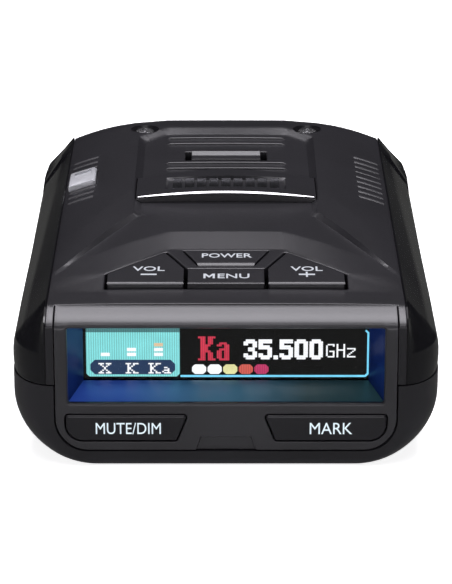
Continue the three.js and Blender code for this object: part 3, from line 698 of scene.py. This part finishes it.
REAR_LINE = [(x, float(rear_edge(x))) for x in np.linspace(CASE_HALF, -CASE_HALF, 60)]
CASE_OUTLINE = [
    (-CASE_HALF, CHEEK[1]), (-CHEEK[0], CHEEK[1]), (-CHEEK[0], -49.85), (CHEEK[0], -49.85), CHEEK,
    (CASE_HALF, CHEEK[1]), (CASE_HALF, 46), *REAR_LINE,
]
CASE_WALL = [  # the outer line, but for the front between the cheeks
    (-CHEEK[0], CHEEK[1]), (-CASE_HALF, CHEEK[1]), (-CASE_HALF, 50.4), *REAR_LINE[-2::-1],
    (CASE_HALF, CHEEK[1]), CHEEK,
]


def has_slit(side, at):
    return side > 0 or not PIPE[2] - 1 < at < PIPE[3] + 1


def slit_ramps(x, y):
    """Behind each slit the case rises again from a sunk edge."""
    sink = np.zeros(len(x))
    ends = ramp((np.abs(x) - 25.1) / 0.1) * ramp((29.9 - np.abs(x)) / 0.1)
    for side in (-1, 1):
        for at in SLIT_YS:
            run = (y - at + SLIT_LIP) / SLIT_RUN
            here = (x * side > 0) & (run >= 0) & (run <= 1) & has_slit(side, at)
            sink = np.where(here, SLIT_SINK * (1 - run) * ends, sink)
    return sink


def case_front(points, drop):
    x, y = points[:, 0], points[:, 1]
    return np.column_stack([points, case_height(points) + ribs(x, y) - slit_ramps(x, y) - drop])


def case_back(points):
    near = gap_to(points, CASE_WALL, False) < 1.52
    return np.column_stack([points, np.where(near, SEAM_Z + GAP, case_height(points) - 2)])


def crease(low, high, where, count=40):
    """A line across the case on each side of the middle."""
    right = [(x, float(where(x))) for x in np.linspace(low, high, count)]
    return [right, [(-x, y) for x, y in right]]


case_lines = []
for at in RIB_YS:
    for shift in (-RIB_REACH, -0.27, -0.15, 0, 0.15, 0.27, RIB_REACH):
        case_lines.append([(-RIB_HALF - 0.4, at + shift), (RIB_HALF + 0.4, at + shift)])
for where in (slope_foot, slope_top):
    case_lines += crease(0.0, SLOPE_HALF, where, 2) + crease(SLOPE_HALF, 29.5, where)
for where in (deck_foot, deck_top):
    case_lines += crease(16.2, 30.3, where, 14)
for where, end in ((rear_foot, 16.0), (rear_top, BADGE_HALF)):
    case_lines += crease(0.0, REAR_HALF, where, 2) + crease(REAR_HALF, end, where, 6)
for sign in (-1, 1):
    case_lines.append([(sign * 16.0, -7.0), (sign * 16.0, 36.8)])
    case_lines.append([(sign * 17.4, -9.2), (sign * 17.4, 39.0)])
    for radius in (SCREW_WELL, SCREW_WELL - 0.35):
        ring = circle(sign * TOP_SCREW[0], TOP_SCREW[1], radius, 36)
        case_lines.append(ring + ring[:1])

case_holes = [
    (rounded(KEY_POCKET, 0.35, 3), 0.3),
    (rounded(POWER_POCKET, 0.3, 3), 0.22),
    (box(-8, 8, 25.4, 31.2), 0.22),
    (box(PIPE[0] + 0.4, PIPE[1] + GAP, PIPE[2] - GAP, PIPE[3] + GAP), 0.15),
    (badge_outline(0.15), 0.12),
]
for side in (-1, 1):
    low, high = sorted(side * x for x in SLIT_ENDS)
    for at in SLIT_YS:
        if not has_slit(side, at):
            continue
        back = at - SLIT_LIP
        end = back + SLIT_RUN
        case_holes.append((box(low, high, at - 0.45, back), 0.05))
        case_lines.append([(low - 0.1, back), (low - 0.1, end), (high + 0.1, end), (high + 0.1, back)])
        case_lines += [[(x, back + 0.06), (x, end)] for x in (low, high)]
    case_holes.append((circle(side * TOP_SCREW[0], TOP_SCREW[1], 1.2, 20), 0.1))

top_case = sheet(
    "top_case_shell", CASE_OUTLINE, case_front, case_back, CASE,
    holes=case_holes, spacing=0.75, edge=0.18, lines=case_lines,
)
carved(top_case, brick("bracket_slot", -12.3, 12.3, 50, 60, 19.5, 24.5, CASE))
stands_for(top_case, "top_case")

# ---- Driver's face ----

# The rounded upper front edge, seen from the side, and the run along it from the floor up.
PROFILE_Y = SEAM_Y + (FRONT_Y - SEAM_Y) * (1 - np.linspace(0, 1, 80) ** 2)
PROFILE_Z = BEZEL_TOP_Z - nose_drop(PROFILE_Y)
PROFILE_RUN = PROFILE_Z[0] + np.insert(np.cumsum(np.hypot(np.diff(PROFILE_Y), np.diff(PROFILE_Z))), 0, 0)
PROFILE_DY = np.gradient(PROFILE_Y, PROFILE_RUN)
PROFILE_DZ = np.gradient(PROFILE_Z, PROFILE_RUN)
BEZEL_RUN = float(PROFILE_RUN[-1])

MARK = [(6.6, 9.7), (8.5, 4.9)]
MARK += [(24.6 + 3 * math.sin(a), 7.9 - 3 * math.cos(a)) for a in np.linspace(0, math.pi / 2, 9)]
MARK += [(27.6, 9.7)]


def on_face(points, depth):
    """Places on the driver's face: x across, and the run up the face and over its rounded top."""
    x, run = points[:, 0], points[:, 1]
    upright = run < PROFILE_RUN[0]
    y = np.interp(run, PROFILE_RUN, PROFILE_Y)
    z = np.where(upright, run, np.interp(run, PROFILE_RUN, PROFILE_Z))
    dy = np.where(upright, 0, np.interp(run, PROFILE_RUN, PROFILE_DY))
    dz = np.where(upright, 1, np.interp(run, PROFILE_RUN, PROFILE_DZ))
    length = np.hypot(dy, dz)
    return np.column_stack([x, y + depth * dz / length, z - depth * dy / length])


TAB = (4.39, 5.79)  # half width of the tab at its top, and the height of that top


def tab_depth(points):
    """The shallow step of the tab under the display, open at the bottom."""
    x, z = np.abs(points[:, 0]), points[:, 1]
    side = TAB[0] + (TAB[1] - z) * 0.31 - x
    return 0.36 * ramp(np.minimum(side, TAB[1] - z) / 0.22)


def bezel_outline(grow, top):
    """The driver's face with its round lower corners, up to the height or run where its sides end."""
    side, low, radius = BEZEL_HALF + grow, 3.2 - grow, 5.6
    right = [(23.4, low)]
    for k in range(1, 15):
        a = k / 14 * math.pi / 2
        right.append((side - radius * (1 - math.sin(a)), low + 1.05 * radius * (1 - math.cos(a))))
    right.append((side, top))
    return right + flipped(right)


tab_lines = [
    [(-bottom, 3.0), (-half, top), (half, top), (bottom, 3.0)]
    for bottom, half, top in ((5.3, *TAB), (5.05, 4.17, 5.57))
]
window = rounded(box(-WINDOW[0], WINDOW[0], WINDOW[1], WINDOW[2]), 0.5, 4)
mark_pocket = offset(rounded(MARK, 0.5, 4), -0.2)
bezel = sheet(
    "front_bezel_shell", bezel_outline(0, BEZEL_RUN),
    lambda p, drop: on_face(p, drop + tab_depth(p)),
    lambda p: on_face(p, 0.85),
    BEZEL, holes=[(window, 0.5), (mark_pocket, 0.13), (flipped(mark_pocket), 0.13)],
    spacing=0.6, edge=0.14, lines=tab_lines, sharp=36,
)
stands_for(bezel, "front_bezel")


def window_ring(half, low, high, y):
    return set_across(box(-half, half, low, high), "y", y)


surround = brick("display_surround_walls", -27.7, 27.7, -54.35, -49.35, 11.2, 26.2, PAINTED_GLOW_WALLS)
mouth = window_ring(WINDOW[0] + 0.06, WINDOW[1] - 0.05, WINDOW[2] + 0.01, -54.5)
carved(surround, loft("funnel", [mouth, window_ring(*WINDOW_BACK, -49.2)], PAINTED_GLOW_WALLS))

# The floor of the recess has a finish of its own, with the display's glow painted on it.
surround.data.materials.append(PAINTED_GLOW_RECESS_FLOOR)
for face in surround.data.polygons:
    if face.normal.z > 0.9 and face.center.z < 20 * MM:
        face.material_index = 1
stands_for(surround, "display_surround")

# ---- Display picture ----

STRIPE = 0.4 * MM  # pitch of the display's columns
LIT_Y = -48.15
ON_PANEL_Y = LIT_Y - 0.05
TEAL = glowing_finish("lit_teal", (0.28, 0.84, 0.82), 1.18, STRIPE)
# Darker teal for the top of the band: painted shadow of the bezel's upper edge on the display.
PAINTED_SHADOW_TEAL = glowing_finish("lit_painted_shadow_teal", (0.10, 0.29, 0.29), 1.0, STRIPE)
WHITE = glowing_finish("lit_white", (1.0, 1.0, 1.0), 1.25)
PEACH = glowing_finish("lit_peach", (1.0, 0.72, 0.45), 1.0)
NAVY = glowing_finish("lit_navy", (0.020, 0.048, 0.12), 1.0)
CYAN = glowing_finish("lit_cyan", (0.20, 0.70, 0.95), 1.25)
RED = glowing_finish("lit_red", (0.85, 0.05, 0.10), 1.0, STRIPE)
YELLOW = glowing_finish("lit_yellow", (1.0, 0.95, 0.45), 1.0)
CORAL = glowing_finish("lit_coral", (0.95, 0.16, 0.12), 0.95, STRIPE)
PINK = glowing_finish("lit_pink", (0.80, 0.06, 0.20), 0.9, STRIPE)

GLYPHS = {
    "0": ".####. ###### ##..## ##..## ##..## ##..## ##..## ##..## ###### .####.",
    "3": ".####. ###### ##..## ....## ..###. ..###. ....## ##..## ###### .####.",
    "5": "###### ###### ##.... #####. ###### ....## ....## ##..## ###### .####.",
    ".": ".. .. .. .. .. .. .. .. ## ##",
    "G": ".#### #...# #.... #.... #.... #.### #...# #...# #...# .####",
    "H": "#...# #...# #...# #...# ##### #...# #...# #...# #...# #...#",
    "z": "..... ..... ..... ##### ....# ...#. ..#.. .#... #.... #####",
    "serif X": "###.### .#...#. ..#.#.. ...#... ...#... ..#.#.. .#...#. ###.###",
    "serif K": "###.### .#..#.. .#.#... .##.... .##.... .#.#... .#..#.. ###.###",
    "serif a": "..... ..... ..... .##.. ...#. .###. #..#. .####",
    "tall K": "###.### .##.##. .##.##. .##.##. .####.. .###... "
    ".###... .####.. .##.##. .##.##. .##.##. ###.###",
    "tall a": "..... ..... ..... .###. ##.## ...## .#### ##.## ##.## ##.## ##.## .####",
}


def glyph_row(glyphs, x0, x1, low, high, space=0.7):
    """Glyphs that fill a rectangle of the display: a box for each unbroken run of lit cells."""
    drawn = [GLYPHS[glyph].split() for glyph in glyphs]
    cell = (x1 - x0) / (sum(len(rows[0]) for rows in drawn) + space * (len(drawn) - 1))
    boxes, x = [], x0
    for rows in drawn:
        tall = (high - low) / len(rows)
        for i, row in enumerate(rows):
            top = high - i * tall
            for run in re.finditer("#+", row):
                boxes.append((x + run.start() * cell, x + run.end() * cell, top - tall * 0.94, top))
        x += (len(rows[0]) + space) * cell
    return boxes


def lit(name, boxes, finish, y=LIT_Y):
    """One lit piece from several thin boxes (x0, x1, z0, z1)."""
    parts = [
        brick(f"{name}_{i}", x0, x1, y - 0.02, y + 0.02, z0, z1, finish)
        for i, (x0, x1, z0, z1) in enumerate(boxes)
    ]
    trim_piece(joined(name, parts))


def lit_panel(name, outline, finish, y=LIT_Y):
    trim_piece(prism(name, outline, "y", y - 0.02, y + 0.02, finish))


def chamfered(x0, x1, z0, z1, cut):
    return [
        (x0 + cut, z0), (x1 - cut, z0), (x1, z0 + cut), (x1, z1 - cut),
        (x1 - cut, z1), (x0 + cut, z1), (x0, z1 - cut), (x0, z0 + cut),
    ]


lit_panel("lit_band_panel", chamfered(-24.2, -8.0, 14.08, 24.0, 0.55), TEAL)
# A darker strip along the top of the teal band: painted shadow of the bezel's upper edge.
lit_panel("lit_band_painted_shadow", box(-24.2, -8.0, 22.3, 23.95), PAINTED_SHADOW_TEAL, ON_PANEL_Y)
lit_panel("lit_band_strip", chamfered(-23.5, -8.8, 14.5, 17.2, 0.8), NAVY, ON_PANEL_Y)
band_letters = glyph_row(["serif X"], -22.1, -19.85, 14.66, 16.62)
band_letters += glyph_row(["serif K"], -17.4, -15.15, 14.66, 16.62)
band_letters += glyph_row(["serif K", "serif a"], -13.45, -9.5, 14.66, 16.62)
lit("lit_band_letters", band_letters, WHITE, ON_PANEL_Y - 0.05)
levels = [(-21.66, -20.11, 17.9, 18.5)]
levels += [(-17.12, -15.57, z, z + 0.6) for z in (17.9, 18.8)]
levels += [(-12.44, -10.9, z, z + 0.6) for z in (17.9, 18.8)]
lit("lit_levels", levels, WHITE, ON_PANEL_Y)
lit("lit_level_peak", [(-12.44, -10.9, 19.7, 20.3)], PEACH, ON_PANEL_Y)
lit("lit_band_name", glyph_row(["tall K", "tall a"], -4.83, 0.55, 17.06, 21.5, 0.6), RED)
lit("lit_reading", glyph_row(list("35.500"), 3.04, 16.75, 17.25, 20.95), WHITE)
lit("lit_unit", glyph_row(list("GHz"), 17.3, 22.4, 17.62, 20.1, 1.2), WHITE)
for i, colour in enumerate((WHITE, WHITE, YELLOW, CORAL, PINK)):
    x = -5.89 + i * 2.7
    lit_panel(f"lit_strength_{i + 1}", chamfered(x, x + 2.45, 14.55, 16.32, 0.5), colour)
frame_line = [
    (-7.9, 13.98), (24.2, 13.98), (24.75, 14.55), (24.75, 22.2), (24.2, 22.75), (24.0, 22.5),
    (24.4, 22.1), (24.4, 14.7), (24.05, 14.35), (-7.9, 14.35),
]
lit_panel("lit_frame", frame_line, CYAN)

# ---- Keys ----

KEY_FACE_Y = FRONT_Y - 0.12
PRINT_Z = (KEY_Z - 0.015, KEY_Z + 0.025)  # bottom and top of the print on the top keys


def top_key(name, outline, front_radius, corner=0.3):
    """A key of the top row. Its front edge is rounded more than the others."""
    front_y = min(y for _, y in outline)

    def front(points, drop):
        share = ramp(1 - (points[:, 1] - front_y) / front_radius)
        fall = front_radius * (1 - np.sqrt(1 - share**2))
        return np.column_stack([points, KEY_Z - np.maximum(drop, 0.85 * fall)])

    xs = [x for x, _ in outline]
    shifts = [front_radius * (1 - math.cos(math.radians(a))) for a in (15, 30, 45, 60, 75, 90)]
    lines = [[(min(xs) - 1, front_y + s), (max(xs) + 1, front_y + s)] for s in shifts]
    key = sheet(
        f"{name}_key", rounded(outline, corner, 4), front, level(25.4), KEY,
        spacing=0.7, edge=0.12, lines=lines, sharp=40,
    )
    stands_for(key, f"{name}_button", f"{name}_button")


top_key("volume_up", VOLUME_UP, 0.8)
top_key("volume_down", flipped(VOLUME_UP), 0.8)
top_key("power", POWER, 1.4)
top_key("menu", MENU, 0.34, 0.12)


def front_key(name, outline):
    key = sheet(
        f"{name}_key", rounded(outline, 0.45, 4),
        lambda p, drop: set_across(p, "y", KEY_FACE_Y + drop),
        lambda p: set_across(p, "y", -52.1),
        KEY, spacing=0.8, edge=0.5, sharp=40,
    )
    stands_for(key, f"{name}_button", f"{name}_button")


front_key("mark", MARK)
front_key("mute_dim", flipped(MARK))


def legend(key, text, low, high, upright=False):
    """Raised print that fills the rectangle low..high, flat on a top key or upright on a front key."""
    name = f"legend_{key}"
    curve = bpy.data.curves.new(name, "FONT")
    curve.body = text
    curve.offset = 0.0 if upright else 0.008
    curve.extrude = 0.5
    curve.resolution_u = 4
    source = new_object(name + "_source", curve)
    mesh = evaluated_mesh(source)
    bpy.data.objects.remove(source)
    places = np.array([tuple(v.co) for v in mesh.vertices])
    share = (places - places.min(0)) / (places.max(0) - places.min(0))
    flat = low + share[:, :2] * np.subtract(high, low)
    rise = share[:, 2] * 0.04 - 0.015
    if upright:
        points = set_across(flat, "y", KEY_FACE_Y - rise)
    else:
        points = set_across(flat, "z", KEY_Z + rise)
    faces = [tuple(p.vertices) for p in mesh.polygons]
    bpy.data.meshes.remove(mesh)
    print_piece = mesh_object(name, points, faces, BACKLIT if upright else PAINTED_GLOW_INK)
    trim_piece(print_piece, f"{key}_button")


def printed_bar(name, x0, x1, y0, y1, body):
    trim_piece(brick(name, x0, x1, y0, y1, *PRINT_Z, PAINTED_GLOW_INK), body)


legend("volume_down", "VOL", (-16.4, -36.0), (-10.8, -33.7))
legend("volume_up", "VOL", (11.4, -36.0), (17.0, -33.7))
legend("power", "POWER", (-4.3, -28.9), (4.6, -26.7))
legend("menu", "ENU", (-1.45, -39.8), (4.1, -37.5))
letter_m = [
    (0, 0), (0, 2.3), (0.44, 2.3), (1, 1.15), (1.56, 2.3), (2, 2.3), (2, 0), (1.62, 0), (1.62, 1.5),
    (1, 0.3), (0.38, 1.5), (0.38, 0),
]
letter_m = [(x - 3.95, y - 39.8) for x, y in letter_m]
trim_piece(prism("legend_menu_m", letter_m, "z", *PRINT_Z, PAINTED_GLOW_INK), "menu_button")
legend("mute_dim", "MUTE/DIM", (-22.4, 6.2), (-11.2, 8.3), True)
legend("mark", "MARK", (14.4, 6.2), (21.7, 8.3), True)
printed_bar("legend_minus", -14.95, -12.15, -38.1, -37.5, "volume_down_button")
printed_bar("legend_plus_bar", 12.75, 15.6, -38.1, -37.5, "volume_up_button")
plus_post = [
    brick(f"post_{low}", 13.99, 14.33, low, high, *PRINT_Z, PAINTED_GLOW_INK)
    for low, high in ((-37.48, -36.5), (-39.1, -38.12))
]
trim_piece(joined("legend_plus_post", plus_post), "volume_up_button")

# ---- Badge ----


def badge_front_z(t):
    return 31.1 + 1.15 * (1 - t * t)


EMBLEM = (11.4, 3.1, 10.9, 31.0)  # half width, front, rear and floor of the recess


def badge_front(points, drop):
    x, y = points[:, 0], points[:, 1]
    t = np.clip(x / BADGE_HALF, -1, 1)
    front, rear = badge_front_z(t), 30.7 + 0.8 * (1 - t * t)
    height = front + (rear - front) * ramp((y + 0.5) / (badge_rear(t) + 0.5))
    height = height - 0.43 * ramp((0.12 - y) / 0.04)
    deep = np.minimum(EMBLEM[0] - np.abs(x), np.minimum(y - EMBLEM[1], EMBLEM[2] - y))
    height = height + (EMBLEM[3] - height) * ramp(deep / 0.4)
    return np.column_stack([points, height - drop])


badge_lines = [[(-16.8, y), (16.8, y)] for y in (0.08, 0.12)]
for inset in (0, 0.2, 0.4):
    ring = box(inset - EMBLEM[0], EMBLEM[0] - inset, EMBLEM[1] + inset, EMBLEM[2] - inset)
    badge_lines.append(ring + ring[:1])
badge = sheet(
    "badge_cover", badge_outline(0), badge_front, level(29.75), CASE,
    spacing=0.6, edge=0.07, lines=badge_lines,
)
stands_for(badge, "badge_plate")

STRIP_SECTION = [
    (0.07, -0.38), (0.08, 0.0), (0.04, 0.07), (-0.03, 0.07), (-0.36, -0.05), (-0.64, -0.16),
    (-0.70, -0.22), (-0.66, -0.34),
]
strip_rings = []
for t in np.linspace(-1, 1, 61):
    section = (0.3 + 0.7 * (1 - t**4)) * np.array(STRIP_SECTION) + (-0.05, badge_front_z(t))
    strip_rings.append(set_across(section, "x", t * 16.5))
strip = loft("badge_chrome_line", strip_rings, CHROME, 40)
stands_for(strip, "badge_chrome_strip")

BAR_PROFILE = [
    (4.1, 31.0), (9.9, 31.0), (9.9, 31.5), (9.78, 31.58), (9.6, 31.58), (9.0, 31.33),
    (4.7, 31.33), (4.35, 31.40), (4.1, 31.32),
]
bars = [
    prism(f"bar_{i}", BAR_PROFILE, "x", i * 2.3 - 0.85, i * 2.3 + 0.85, DULL_CHROME, 15)
    for i in range(-4, 5)
]
stands_for(joined("badge_bars", bars), "badge_emblem")

# ---- Release bar, lens and screws ----


def release_front(points, drop):
    ridge = ramp((points[:, 1] - 28.1) / 1.25)
    return np.column_stack([points, 30.42 + 0.48 * ridge - drop])


release = sheet(
    "mount_release_bar", box(-6.75, 6.75, 25.6, 31), release_front, level(27.4), CASE,
    spacing=0.6, edge=0.12, lines=[[(-7, 28.1), (7, 28.1)], [(-7, 29.35), (7, 29.35)]], sharp=15,
)
stands_for(release, "mount_release_button", "mount_release_button")

pipe = prism(
    "sensor_lens", [(-30.2, 25.6), (-25.0, 25.6), (-25.0, 30.3), (-25.6, 30.55), (-30.2, 29.1)],
    "y", 12.0, 20.4, MILKY,
)
bevelled(pipe, 0.45)
hollow = [(-29.3, 28.95), (-26.0, 30.0), (-26.0, 31.5), (-29.3, 31.5)]
carved(pipe, prism("lens_hollow", hollow, "y", 16.6, 19.5, MILKY))
stands_for(pipe, "sensor_light_pipe")


def turned(name, profile, x, y, finish):
    """A round solid about Z from (radius, z) points."""
    rings = [set_across(circle(x, y, radius), "z", z) for radius, z in profile]
    return loft(name, rings, finish, 30)


def screw(name, x, y, top, way, node, finish=STEEL):
    """A cross-head screw; way is 1 for a head that faces up and -1 for one that faces down."""
    heights = [(1.85, -0.95), (1.95, -0.8), (1.95, -0.35), (1.7, -0.1), (1.2, 0)]
    shank = [(0.9, -5.9), (0.95, -1.0)]
    body = turned(name, [(r, top + way * h) for r, h in shank + heights], x, y, finish)
    arms = [
        brick(f"arm_{long}", x - long, x + long, y - short, y + short, top - 0.6, top + 0.6, finish)
        for long, short in ((1.15, 0.22), (0.22, 1.15))
    ]
    carved(body, *arms)
    stands_for(body, node)


for label, sign in (("left", -1), ("right", 1)):
    x, y = sign * TOP_SCREW[0], TOP_SCREW[1]
    screw(f"screw_top_{label}", x, y, 30.75, 1, f"case_screw_top_{label}", SCREW_STEEL)
for i, (x, y) in enumerate(UNDER_SCREWS):
    screw(f"screw_under_{i + 1}", x, y, 0.1, -1, f"case_screw_bottom_{i + 1}")

# ---- Lower case ----


def lower_half_width(z, inset):
    """Half width of the lower case at a height, from its flat underside up its round sides."""
    flat = 26.0
    round_part = HALF_WIDTH - flat - inset
    drop = ramp(1 - (z - inset) / (11.2 - inset))
    return flat + round_part * math.sqrt(1 - drop * drop)


def lower_setback(z, inset):
    """How far the front and the rear of the lower case are drawn in at a height."""
    drop = ramp(1 - (z - inset) / 1.8)
    return inset + 1.8 * (1 - math.sqrt(1 - drop * drop))


def plan_ring(z, inset):
    """The outline of the lower case at a height; inset moves it inwards from the outer skin."""
    half, setback = lower_half_width(z, inset), lower_setback(z, inset)
    squeeze = half / HALF_WIDTH
    right = []
    for k in range(19):
        a = k / 18 * math.pi / 2
        right.append(((29.5 + 7.5 * math.sin(a)) * squeeze, -45 - (10.3 - setback) * math.cos(a)))
    right += [(half, y) for y in (-30, -10, 10, 30, 45)]
    right.append((half - 0.25, 47.4 - setback * 0.5))
    right.append((half - 0.8, 49.6 - setback))
    right += [(x * squeeze, float(rear_edge(x)) - setback) for x in np.linspace(32, 0, 16)]
    return set_across(right + flipped(right[:-1]), "z", z)


def lower_body(name, inset, low, high, finish=CASE):
    levels = low + (high - low) * np.linspace(0, 1, 26) ** 1.6
    return loft(name, [plan_ring(float(z), inset) for z in levels], finish)


bottom = lower_body("bottom_case_shell", 0, 0, SEAM_Z)
rims = [
    set_across(bezel_outline(grow, 40), "y", y)
    for grow, y in ((0.5, -56), (0.15, -54.9), (0.15, -51))
]
opening = loft("opening", rims, CASE)
rear_room = brick("rear_room", -22.7, 22.7, 48, 60, 3.6, 14.6, CASE)
side_room = brick("side_room", -45, -28, 10, 40.2, 4.4, 12.6, CASE)
plate_room = brick("plate_room", -15.2, 15.2, -12.2, 20.2, -1, 0.5, CASE)
rooms = [opening, rear_room, side_room, plate_room]
for x, y in UNDER_SCREWS:
    rooms.append(turned("screw_room", [(3.0, -1), (2.6, 0.25), (2.6, 1.2)], x, y, CASE))
carved(bottom, lower_body("hollow", 2, 2, 16), *rooms)
stands_for(bottom, "bottom_case")

rear_plate = lower_body("antenna_cover", 0.4, 2.4, 14.9, GLOSS)
plate_box = brick("plate_box", -22.5, 22.5, 40, 60, 3.8, 14.4, GLOSS)
carved(rear_plate, plate_box, operation="INTERSECT")
carved(rear_plate, lower_body("plate_hollow", 1.9, 2.0, 16))
bevelled(rear_plate, 0.12, 50)
stands_for(rear_plate, "antenna_window")


def side_socket(name, y0, y1, node, finish, hole):
    """A socket that follows the round left side of the case."""
    body = brick(name, -45, -23, y0, y1, 4.6, 12.4, finish)
    carved(body, lower_body("socket_skin", 0.5, 2.4, 14.9, finish), operation="INTERSECT")
    carved(body, hole)
    stands_for(body, node)


power_hole = brick("power_hole", -45, -25, 30.7, 38.8, 5.6, 11.4, CHIP)
side_socket("power_inlet", 29.5, 40, "power_jack", CHIP, power_hole)
usb_hole = brick("usb_hole", -45, -27, 20.6, 28, 7, 10, STEEL)
side_socket("usb_inlet", 19.4, 29.2, "usb_socket", STEEL, usb_hole)
ear_hole = prism("ear_hole", circle(14.6, 8.5, 1.8), "x", -45, -26, CHIP)
side_socket("ear_inlet", 10.2, 19.1, "earphone_jack", CHIP, ear_hole)

trim_piece(brick("usb_tongue", -33.4, -26.9, 21.8, 26.8, 8.2, 8.8, CHIP))
wires = [
    brick(f"wire_{i}", -33.5, -24.9, 32.6 + 1.25 * i, 33.0 + 1.25 * i, 10.8, 11.2, BRASS)
    for i in range(4)
]
trim_piece(joined("power_contacts", wires))

plate = prism("blank_plate", rounded(box(-15, 15, -12, 20), 1.2), "z", 0.1, 0.4, LABEL)
bevelled(plate, 0.06)
stands_for(plate, "rating_plate")

# ---- Side trims ----


def side_x(y):
    """Half width of the object at y."""
    if y < -45:
        return 29.5 + 7.5 * math.sqrt(max(0.0, 1 - ((y + 45) / 10.3) ** 2))
    if y > 45:
        return HALF_WIDTH - 0.5 * (y - 45) / 4.4
    return HALF_WIDTH


def trim_ring(side, y):
    """The section of a side trim at y: a round belly, a crease and a slope up to the upper case."""
    back = (y + 55) / 105
    width = side_x(y) - TRIM_HALF
    sink = float(nose_drop(y))
    step = 0.3 * ramp((40.5 - y) / 0.4) * ramp((y + 25) / 50)
    tail = ramp((y - 42) / 6)

    def reach(x):
        return TRIM_HALF + (x - TRIM_HALF) * width / (HALF_WIDTH - TRIM_HALF)

    low = SEAM_Z + GAP
    belly = [(reach(36.78), low), (reach(36.93), 16.2), (reach(37), 17.4), (reach(36.99), 18.6)]
    belly += [(reach(36.88) - step, 19.8 + tail), (reach(36.6) - step - 0.2 * tail, 20.9 + 1.3 * tail)]
    fold = (reach(35.3 - 2.3 * back) - step, 22.6 + 3.6 * back - sink - 0.7 * tail - step)
    top = (31.1, 27.6 - sink)
    points = [(30.86, low)] + belly
    for start, end, count in ((belly[-1], fold, 4), (fold, top, 10)):
        for k in range(1, count + 1):
            share = k / count
            x = start[0] + (end[0] - start[0]) * share
            z = start[1] + (end[1] - start[1]) * share
            dent = 0.45 * ramp((3.6 * share - abs(y + 49.2)) / 0.7) * (start == fold and share < 0.95)
            points.append((x - 0.75 * dent, z - 0.65 * dent))
    points.append((30.86, 27.6 - sink - 0.1))
    return np.array([(side * x, y, z) for x, z in points])


trim_ys = [-54.85, -54.7, -54.4, -54, -53.6] + list(np.linspace(-53.2, -45.2, 33))
trim_ys += list(np.linspace(-45, 39.5, 43)) + [40.08, 40.5, 41.5, 43, 45, 45.01, 46, 47.2, 48.4, 49.2, 49.4]
for label, side in (("left", -1), ("right", 1)):
    trim = loft(f"side_moulding_{label}", [trim_ring(side, y) for y in trim_ys], GLOSS, 12)
    stands_for(trim, f"side_trim_{label}")

# ---- Camera, floor and lights ----

VIEW_TILT = math.radians(20)
VIEW_DISTANCE = 534.2
AIM = Vector((0, -8.1, 15))
SENSOR = 24
FOCAL_LENGTH = 117.657534

camera_data = bpy.data.cameras.new("camera")
camera_data.sensor_fit = "VERTICAL"
camera_data.sensor_height = SENSOR
camera_data.lens = FOCAL_LENGTH
camera = new_object("camera", camera_data)
camera.location = (AIM + VIEW_DISTANCE * Vector((0, -math.cos(VIEW_TILT), math.sin(VIEW_TILT)))) * MM
camera.rotation_euler = (math.pi / 2 - VIEW_TILT, 0, 0)
bpy.context.scene.camera = camera

FLOOR_HALF = 3000


def floor_finish():
    """A pale matte floor that glows, so the shadow on it stays faint."""
    made, tree, shader = node_material("floor_finish")
    pale = blended(tree, noise(tree, 12.0), (0.88, 0.88, 0.88), (0.90, 0.90, 0.90))
    tree.links.new(pale, shader.inputs["Base Color"])
    set_shader(made, {
        "Roughness": 0.9, "Specular IOR Level": 0.0,
        "Emission Color": (1, 1, 1, 1), "Emission Strength": 0.85,
    })
    return made


floor_points = set_across(box(-FLOOR_HALF, FLOOR_HALF, -FLOOR_HALF, FLOOR_HALF), "z", 0)
floor = mesh_object("floor", floor_points, [(0, 1, 2, 3)], floor_finish())
floor.visible_glossy = False
floor.visible_transmission = False


def softbox(name, tilt, turn, distance, width, height, power):
    """A flat light that faces the object, tilt degrees up from the driver's side and turned about Z."""
    data = bpy.data.lights.new(name, "AREA")
    data.shape = "RECTANGLE"
    data.size, data.size_y = width, height
    data.energy = power
    data.color = (0.965, 0.94, 1.0)
    made = new_object(name, data)
    up, about = math.radians(tilt), math.radians(turn)
    way = Vector((math.sin(about) * math.cos(up), -math.cos(about) * math.cos(up), math.sin(up)))
    made.location = way * distance
    made.rotation_euler = way.to_track_quat("Z", "Y").to_euler()


softbox("overhead", 106.5, -8, 0.75, 0.60, 0.60, 8.0)
softbox("rear_right", 40, 150, 0.9, 0.3, 0.3, 0.18)
softbox("rear_left", 44, -152, 0.9, 0.3, 0.3, 0.32)
softbox("front_fill", 14, 0, 0.9, 0.7, 0.16, 1.45)
softbox("front_top", 66, 0, 0.8, 0.6, 0.16, 1.2)

# The air is grey below the object and nearly black above it.
world = bpy.data.worlds.new("studio")
world.use_nodes = True
studio = world.node_tree
height = mapped(studio, coordinate(studio, "Generated", "Z"), -0.20, -0.08)
air = blended(studio, height, (0.125, 0.125, 0.12), (0.015, 0.015, 0.016))
studio.links.new(air, studio.nodes["Background"].inputs["Color"])
bpy.context.scene.world = world
bpy.context.scene.view_settings.view_transform = "Standard"
